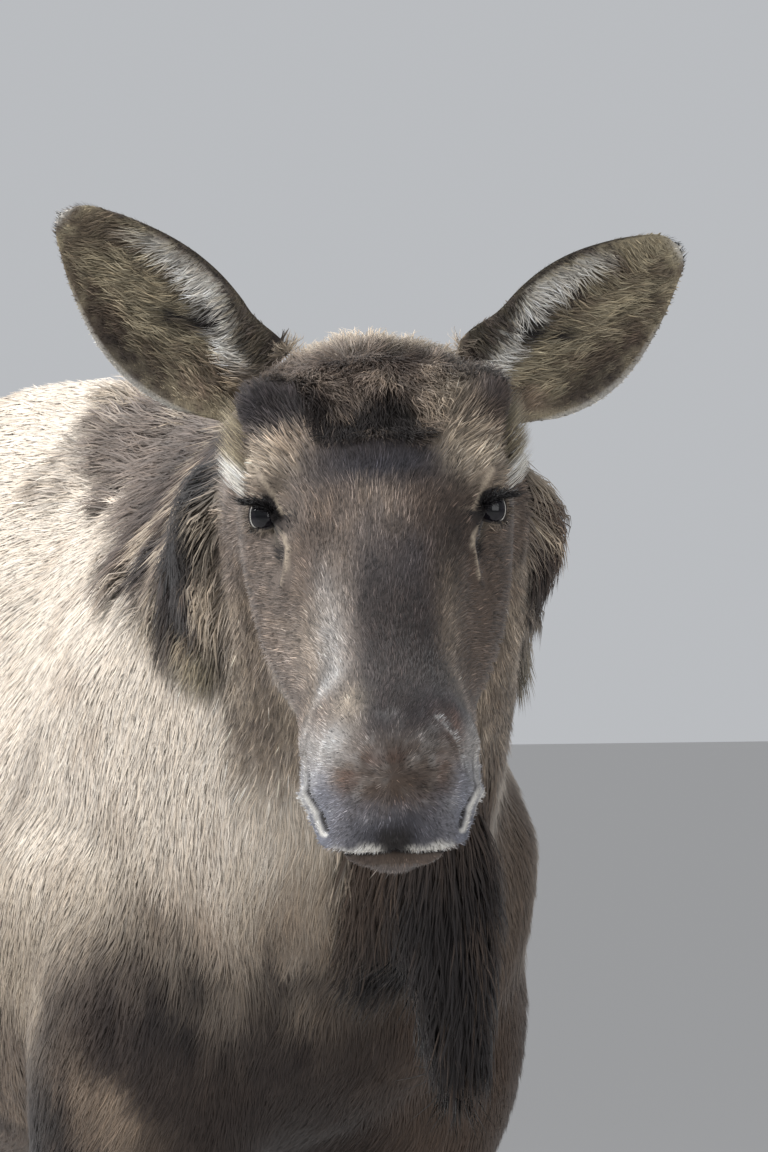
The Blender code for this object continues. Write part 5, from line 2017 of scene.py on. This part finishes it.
def build_lashes():
    vertices, faces = [], []
    random = np.random.default_rng(301)
    angles = [math.tau * k / 3 for k in range(3)]
    for side in BOTH:
        for above, count, share in ((True, 260, 1.0), (False, 26, 0.3)):
            for spine, aside, up in lash_spines(side, above, count, sizes().lash * share, random):
                first = len(vertices)
                for radius, spot in zip((0.00052, 0.00042, 0.00026), spine):
                    outs = [aside * math.cos(a) + up * math.sin(a) for a in angles]
                    vertices += [spot + out * radius for out in outs]
                vertices.append(spine[-1])
                faces += (tuft_faces(1, 3) + first).tolist()
    mesh = bpy.data.meshes.new("lashes")
    mesh.from_pydata(from_head(np.array(vertices)).tolist(), [], faces)
    mesh.shade_smooth()
    material = speckled_material("lash_hair", 0.4, "pupil", "black_brown", 300.0)
    finish_piece(add_object("lashes", mesh), material, "eye")


# ---- hooves and buds ----
# Levels of a toe from the sole up: height, size beside the sole, lean backwards.
TOE_LEVELS = (
    (0.0, 0.985, 0.0),
    (0.004, 1.0, 0.001),
    (0.018, 0.965, 0.005),
    (0.04, 0.885, 0.012),
    (0.062, 0.795, 0.019),
    (0.082, 0.7, 0.025),
    (HOOF_TOP - 0.0004, 0.6, 0.03),
)


def toe_rings(side, x, y):
    """Rings of one toe: pointed in front, flat on the inner side."""
    around = 40
    rings = []
    for height, scale, lean in TOE_LEVELS:
        ring = []
        for i in range(around):
            angle = math.tau * i / around
            fore, out = math.cos(angle), math.sin(angle)
            reach = sizes().toe_length * 0.5 * fore * scale
            taper = 1 - 0.42 * max(fore, 0.0) ** 2
            width = sizes().toe_width * 0.5 * (out if out > 0 else out * 0.72) * taper
            width *= 0.55 + 0.45 * scale
            ring.append(Vector((x + side * width, y - reach + lean, height)))
        rings.append(ring)
    return rings


def claw_rings(x, y):
    """Rings of a dewclaw, pointing down and back."""
    out = Vector((0, 0.62, -0.78)).normalized()
    side = Vector((1, 0, 0))
    up = side.cross(out)
    rings = []
    for share, radius in ((-0.1, 0.015), (0.2, 0.0158), (0.6, 0.014), (0.85, 0.01), (1.0, 0.0045)):
        centre = Vector((x, y, 0.16)) + out * 0.062 * share
        angles = [math.tau * i / 16 for i in range(16)]
        rings.append([centre + (side * math.cos(a) + up * math.sin(a)) * radius for a in angles])
    return rings


def build_hooves():
    horn = horn_material()
    for leg in LEGS:
        x, y = foot_centre(leg)
        bm = bmesh.new()
        for side in (-leg[1], leg[1]):
            bm.from_mesh(mesh_of_rings("toe", toe_rings(side, x + side * 0.0215, y - 0.018)))
            bm.from_mesh(mesh_of_rings("claw", claw_rings(x + side * 0.02, y + 0.052)))
        mesh = mesh_from(bm, "hooves_" + leg[0])
        mesh.shade_smooth()
        mesh.set_sharp_from_angle(angle=math.radians(40))
        parts = [(part, place) for part in ("hoof", "dewclaw") for place in ("inner", "outer")]
        nodes = [f"{leg[0]}_{part}_{place}" for part, place in parts]
        finish_piece(add_object("hooves_" + leg[0], mesh), horn, "horn", nodes)


def build_buds():
    material = speckled_material("velvet", 0.8, "black_brown", "slate", 260.0, Sheen_Weight=0.4)
    places, normals = [], []
    random = np.random.default_rng(401)
    for label, side in SIDES.items():
        centre, axes = bud_axes(side)
        centre = centre - axes.col[2] * 0.34
        mesh = dome_mesh(f"bud_{label}", centre, axes @ Matrix.Scale(0.78, 3), 48, 28)
        mesh.shade_smooth()
        finish_piece(add_object(f"bud_{label}", mesh), material, "velvet", [f"antler_bud_{label}"])
        ways = unit(random.normal(size=(2600, 3)))
        ways = ways[ways[:, 2] > -0.1]
        basis = np.array(axes).T
        places.append(np.array(centre) + ways @ basis * 0.78)
        normals.append(unit(ways @ basis))
    places, normals = np.concatenate(places), np.concatenate(normals)
    roots = places, normals, skin().nearest(places)[2]
    colours = coat_colour(places, normals)
    outward = np.sign(to_head(places)[:, :1]) * np.array(LEFTWARD)
    way = outward * 0.7 + np.array(NOSEWARD) * 0.5 + 0.25 * random.normal(size=places.shape)
    way = along_skin(way, normals)
    grow("coat_buds", roots, 0.012, 0.0016, 0.004, colours * 0.8, "velvet", 402, lie=way,
         vary=0.35, clump=0.008, patchy=0.5)


# ---- stage ----
VIEW_TURN = math.radians(-30.0)  # round the animal towards its right
VIEW_DISTANCE = 8.0
HALF_VIEW = math.radians(4.15)  # half of the angle that the camera sees


def set_stage():
    scene = bpy.context.scene
    scene.view_settings.view_transform = "Standard"
    world = bpy.data.worlds.new("studio")
    world.use_nodes = True
    sky = world.node_tree.nodes["Background"]
    set_sockets(sky, {"Color": (0.7, 0.72, 0.75, 1), "Strength": 0.7})
    scene.world = world
    mesh = bpy.data.meshes.new("floor")
    mesh.from_pydata([(-60, -60, 0), (60, -60, 0), (60, 60, 0), (-60, 60, 0)], [], [(0, 1, 2, 3)])
    floor = add_object("floor", mesh)
    mesh.materials.append(new_material("pale_floor", 0.9, Base_Color=(0.62, 0.61, 0.6, 1))[0])
    aside = Vector((math.cos(VIEW_TURN), math.sin(VIEW_TURN), 0))
    back = Vector((math.sin(VIEW_TURN), -math.cos(VIEW_TURN), 0))
    place_camera(scene, aside, back)
    for name, place, size, power in (
        ("key", HEAD_ORIGIN + back * 1.6 - aside * 4.4 + UP * 3.2, 1.8, 330),
        ("rim", HEAD_ORIGIN - back * 2.6 - aside * 2.4 + UP * 4.0, 1.6, 180),
        ("fill", HEAD_ORIGIN + back * 4.4 + aside * 2.6 + UP * 0.8, 3.5, 90),
    ):
        light = bpy.data.lights.new(name, "AREA")
        light.size = size
        light.energy = power
        lamp = add_object(name, light)
        lamp.location = place
        lamp.rotation_euler = (HEAD_ORIGIN - place).to_track_quat("-Z", "Y").to_euler()


def place_camera(scene, aside, back):
    """Level and a little below the eyes, framing head and chest."""
    camera = bpy.data.cameras.new("camera")
    camera.sensor_width = 36.0
    camera.lens = camera.sensor_width / (2 * math.tan(HALF_VIEW))
    camera.clip_end = 200
    holder = add_object("camera", camera)
    holder.location = HEAD_ORIGIN + back * VIEW_DISTANCE + aside * 0.00655 - UP * 0.0645
    holder.rotation_euler = (-back).to_track_quat("-Z", "Y").to_euler()
    scene.camera = holder


# ---- add-on ----
class MOOSE_OT_build_skin(Operator):
    """Builds the one skin of head, neck, trunk, legs, ears, bell and tail"""

    bl_idname = "moose.build_skin"
    bl_label = "Skin"

    def execute(self, context):
        build_skin()
        return {"FINISHED"}


class MOOSE_OT_grow_face(Operator):
    """Grows the short coat of face, muzzle and jaw"""

    bl_idname = "moose.grow_face"
    bl_label = "Face"

    def execute(self, context):
        grow_face()
        return {"FINISHED"}


class MOOSE_OT_grow_crown(Operator):
    """Grows the mop of hair between the ears"""

    bl_idname = "moose.grow_crown"
    bl_label = "Crown"

    def execute(self, context):
        grow_crown()
        return {"FINISHED"}


class MOOSE_OT_grow_ears(Operator):
    """Grows the short hair behind the ears and the long hair inside them"""

    bl_idname = "moose.grow_ears"
    bl_label = "Ears"

    def execute(self, context):
        grow_ears()
        return {"FINISHED"}


class MOOSE_OT_grow_neck(Operator):
    """Grows the mane and the bell"""

    bl_idname = "moose.grow_neck"
    bl_label = "Neck"

    def execute(self, context):
        grow_neck()
        return {"FINISHED"}


class MOOSE_OT_grow_body(Operator):
    """Grows the coat of shoulders, trunk and tail"""

    bl_idname = "moose.grow_body"
    bl_label = "Body"

    def execute(self, context):
        grow_body()
        return {"FINISHED"}


class MOOSE_OT_grow_legs(Operator):
    """Grows the coat of the legs"""

    bl_idname = "moose.grow_legs"
    bl_label = "Legs"

    def execute(self, context):
        grow_legs()
        return {"FINISHED"}


class MOOSE_OT_build_eyes(Operator):
    """Builds the two eyeballs"""

    bl_idname = "moose.build_eyes"
    bl_label = "Eyes"

    def execute(self, context):
        build_eyes()
        return {"FINISHED"}


class MOOSE_OT_build_lashes(Operator):
    """Builds the eyelashes"""

    bl_idname = "moose.build_lashes"
    bl_label = "Lashes"

    def execute(self, context):
        build_lashes()
        return {"FINISHED"}


class MOOSE_OT_build_hooves(Operator):
    """Builds the hooves and dewclaws"""

    bl_idname = "moose.build_hooves"
    bl_label = "Hooves"

    def execute(self, context):
        build_hooves()
        return {"FINISHED"}


class MOOSE_OT_build_buds(Operator):
    """Builds the antler buds and their velvet hair"""

    bl_idname = "moose.build_buds"
    bl_label = "Antler buds"

    def execute(self, context):
        build_buds()
        return {"FINISHED"}


class MOOSE_OT_set_stage(Operator):
    """Sets the floor, the lights and the camera"""

    bl_idname = "moose.set_stage"
    bl_label = "Stage"

    def execute(self, context):
        set_stage()
        return {"FINISHED"}


STEPS = (
    MOOSE_OT_build_skin,
    MOOSE_OT_grow_face,
    MOOSE_OT_grow_crown,
    MOOSE_OT_grow_ears,
    MOOSE_OT_grow_neck,
    MOOSE_OT_grow_body,
    MOOSE_OT_grow_legs,
    MOOSE_OT_build_eyes,
    MOOSE_OT_build_lashes,
    MOOSE_OT_build_hooves,
    MOOSE_OT_build_buds,
    MOOSE_OT_set_stage,
)


class MOOSE_PT_panel(Panel):
    """Lists the sizes, the colours and the steps"""

    bl_label = "Moose"
    bl_idname = "MOOSE_PT_panel"
    bl_space_type = "VIEW_3D"
    bl_region_type = "UI"
    bl_category = "Moose"

    def draw(self, context):
        for group in (context.scene.moose_sizes, context.scene.moose_colours):
            box = self.layout.box()
            for name in group.__annotations__:
                box.prop(group, name)
        for step in STEPS:
            self.layout.operator(step.bl_idname)


CLASSES = (MooseSizes, MooseColours, *STEPS, MOOSE_PT_panel)


def register():
    for cls in CLASSES:
        bpy.utils.register_class(cls)
    bpy.types.Scene.moose_sizes = PointerProperty(type=MooseSizes)
    bpy.types.Scene.moose_colours = PointerProperty(type=MooseColours)


def unregister():
    del bpy.types.Scene.moose_colours
    del bpy.types.Scene.moose_sizes
    for cls in reversed(CLASSES):
        bpy.utils.unregister_class(cls)


def main():
    register()
    for step in STEPS:
        group, name = step.bl_idname.split(".")
        getattr(getattr(bpy.ops, group), name)()


if __name__ == "__main__":
    main()
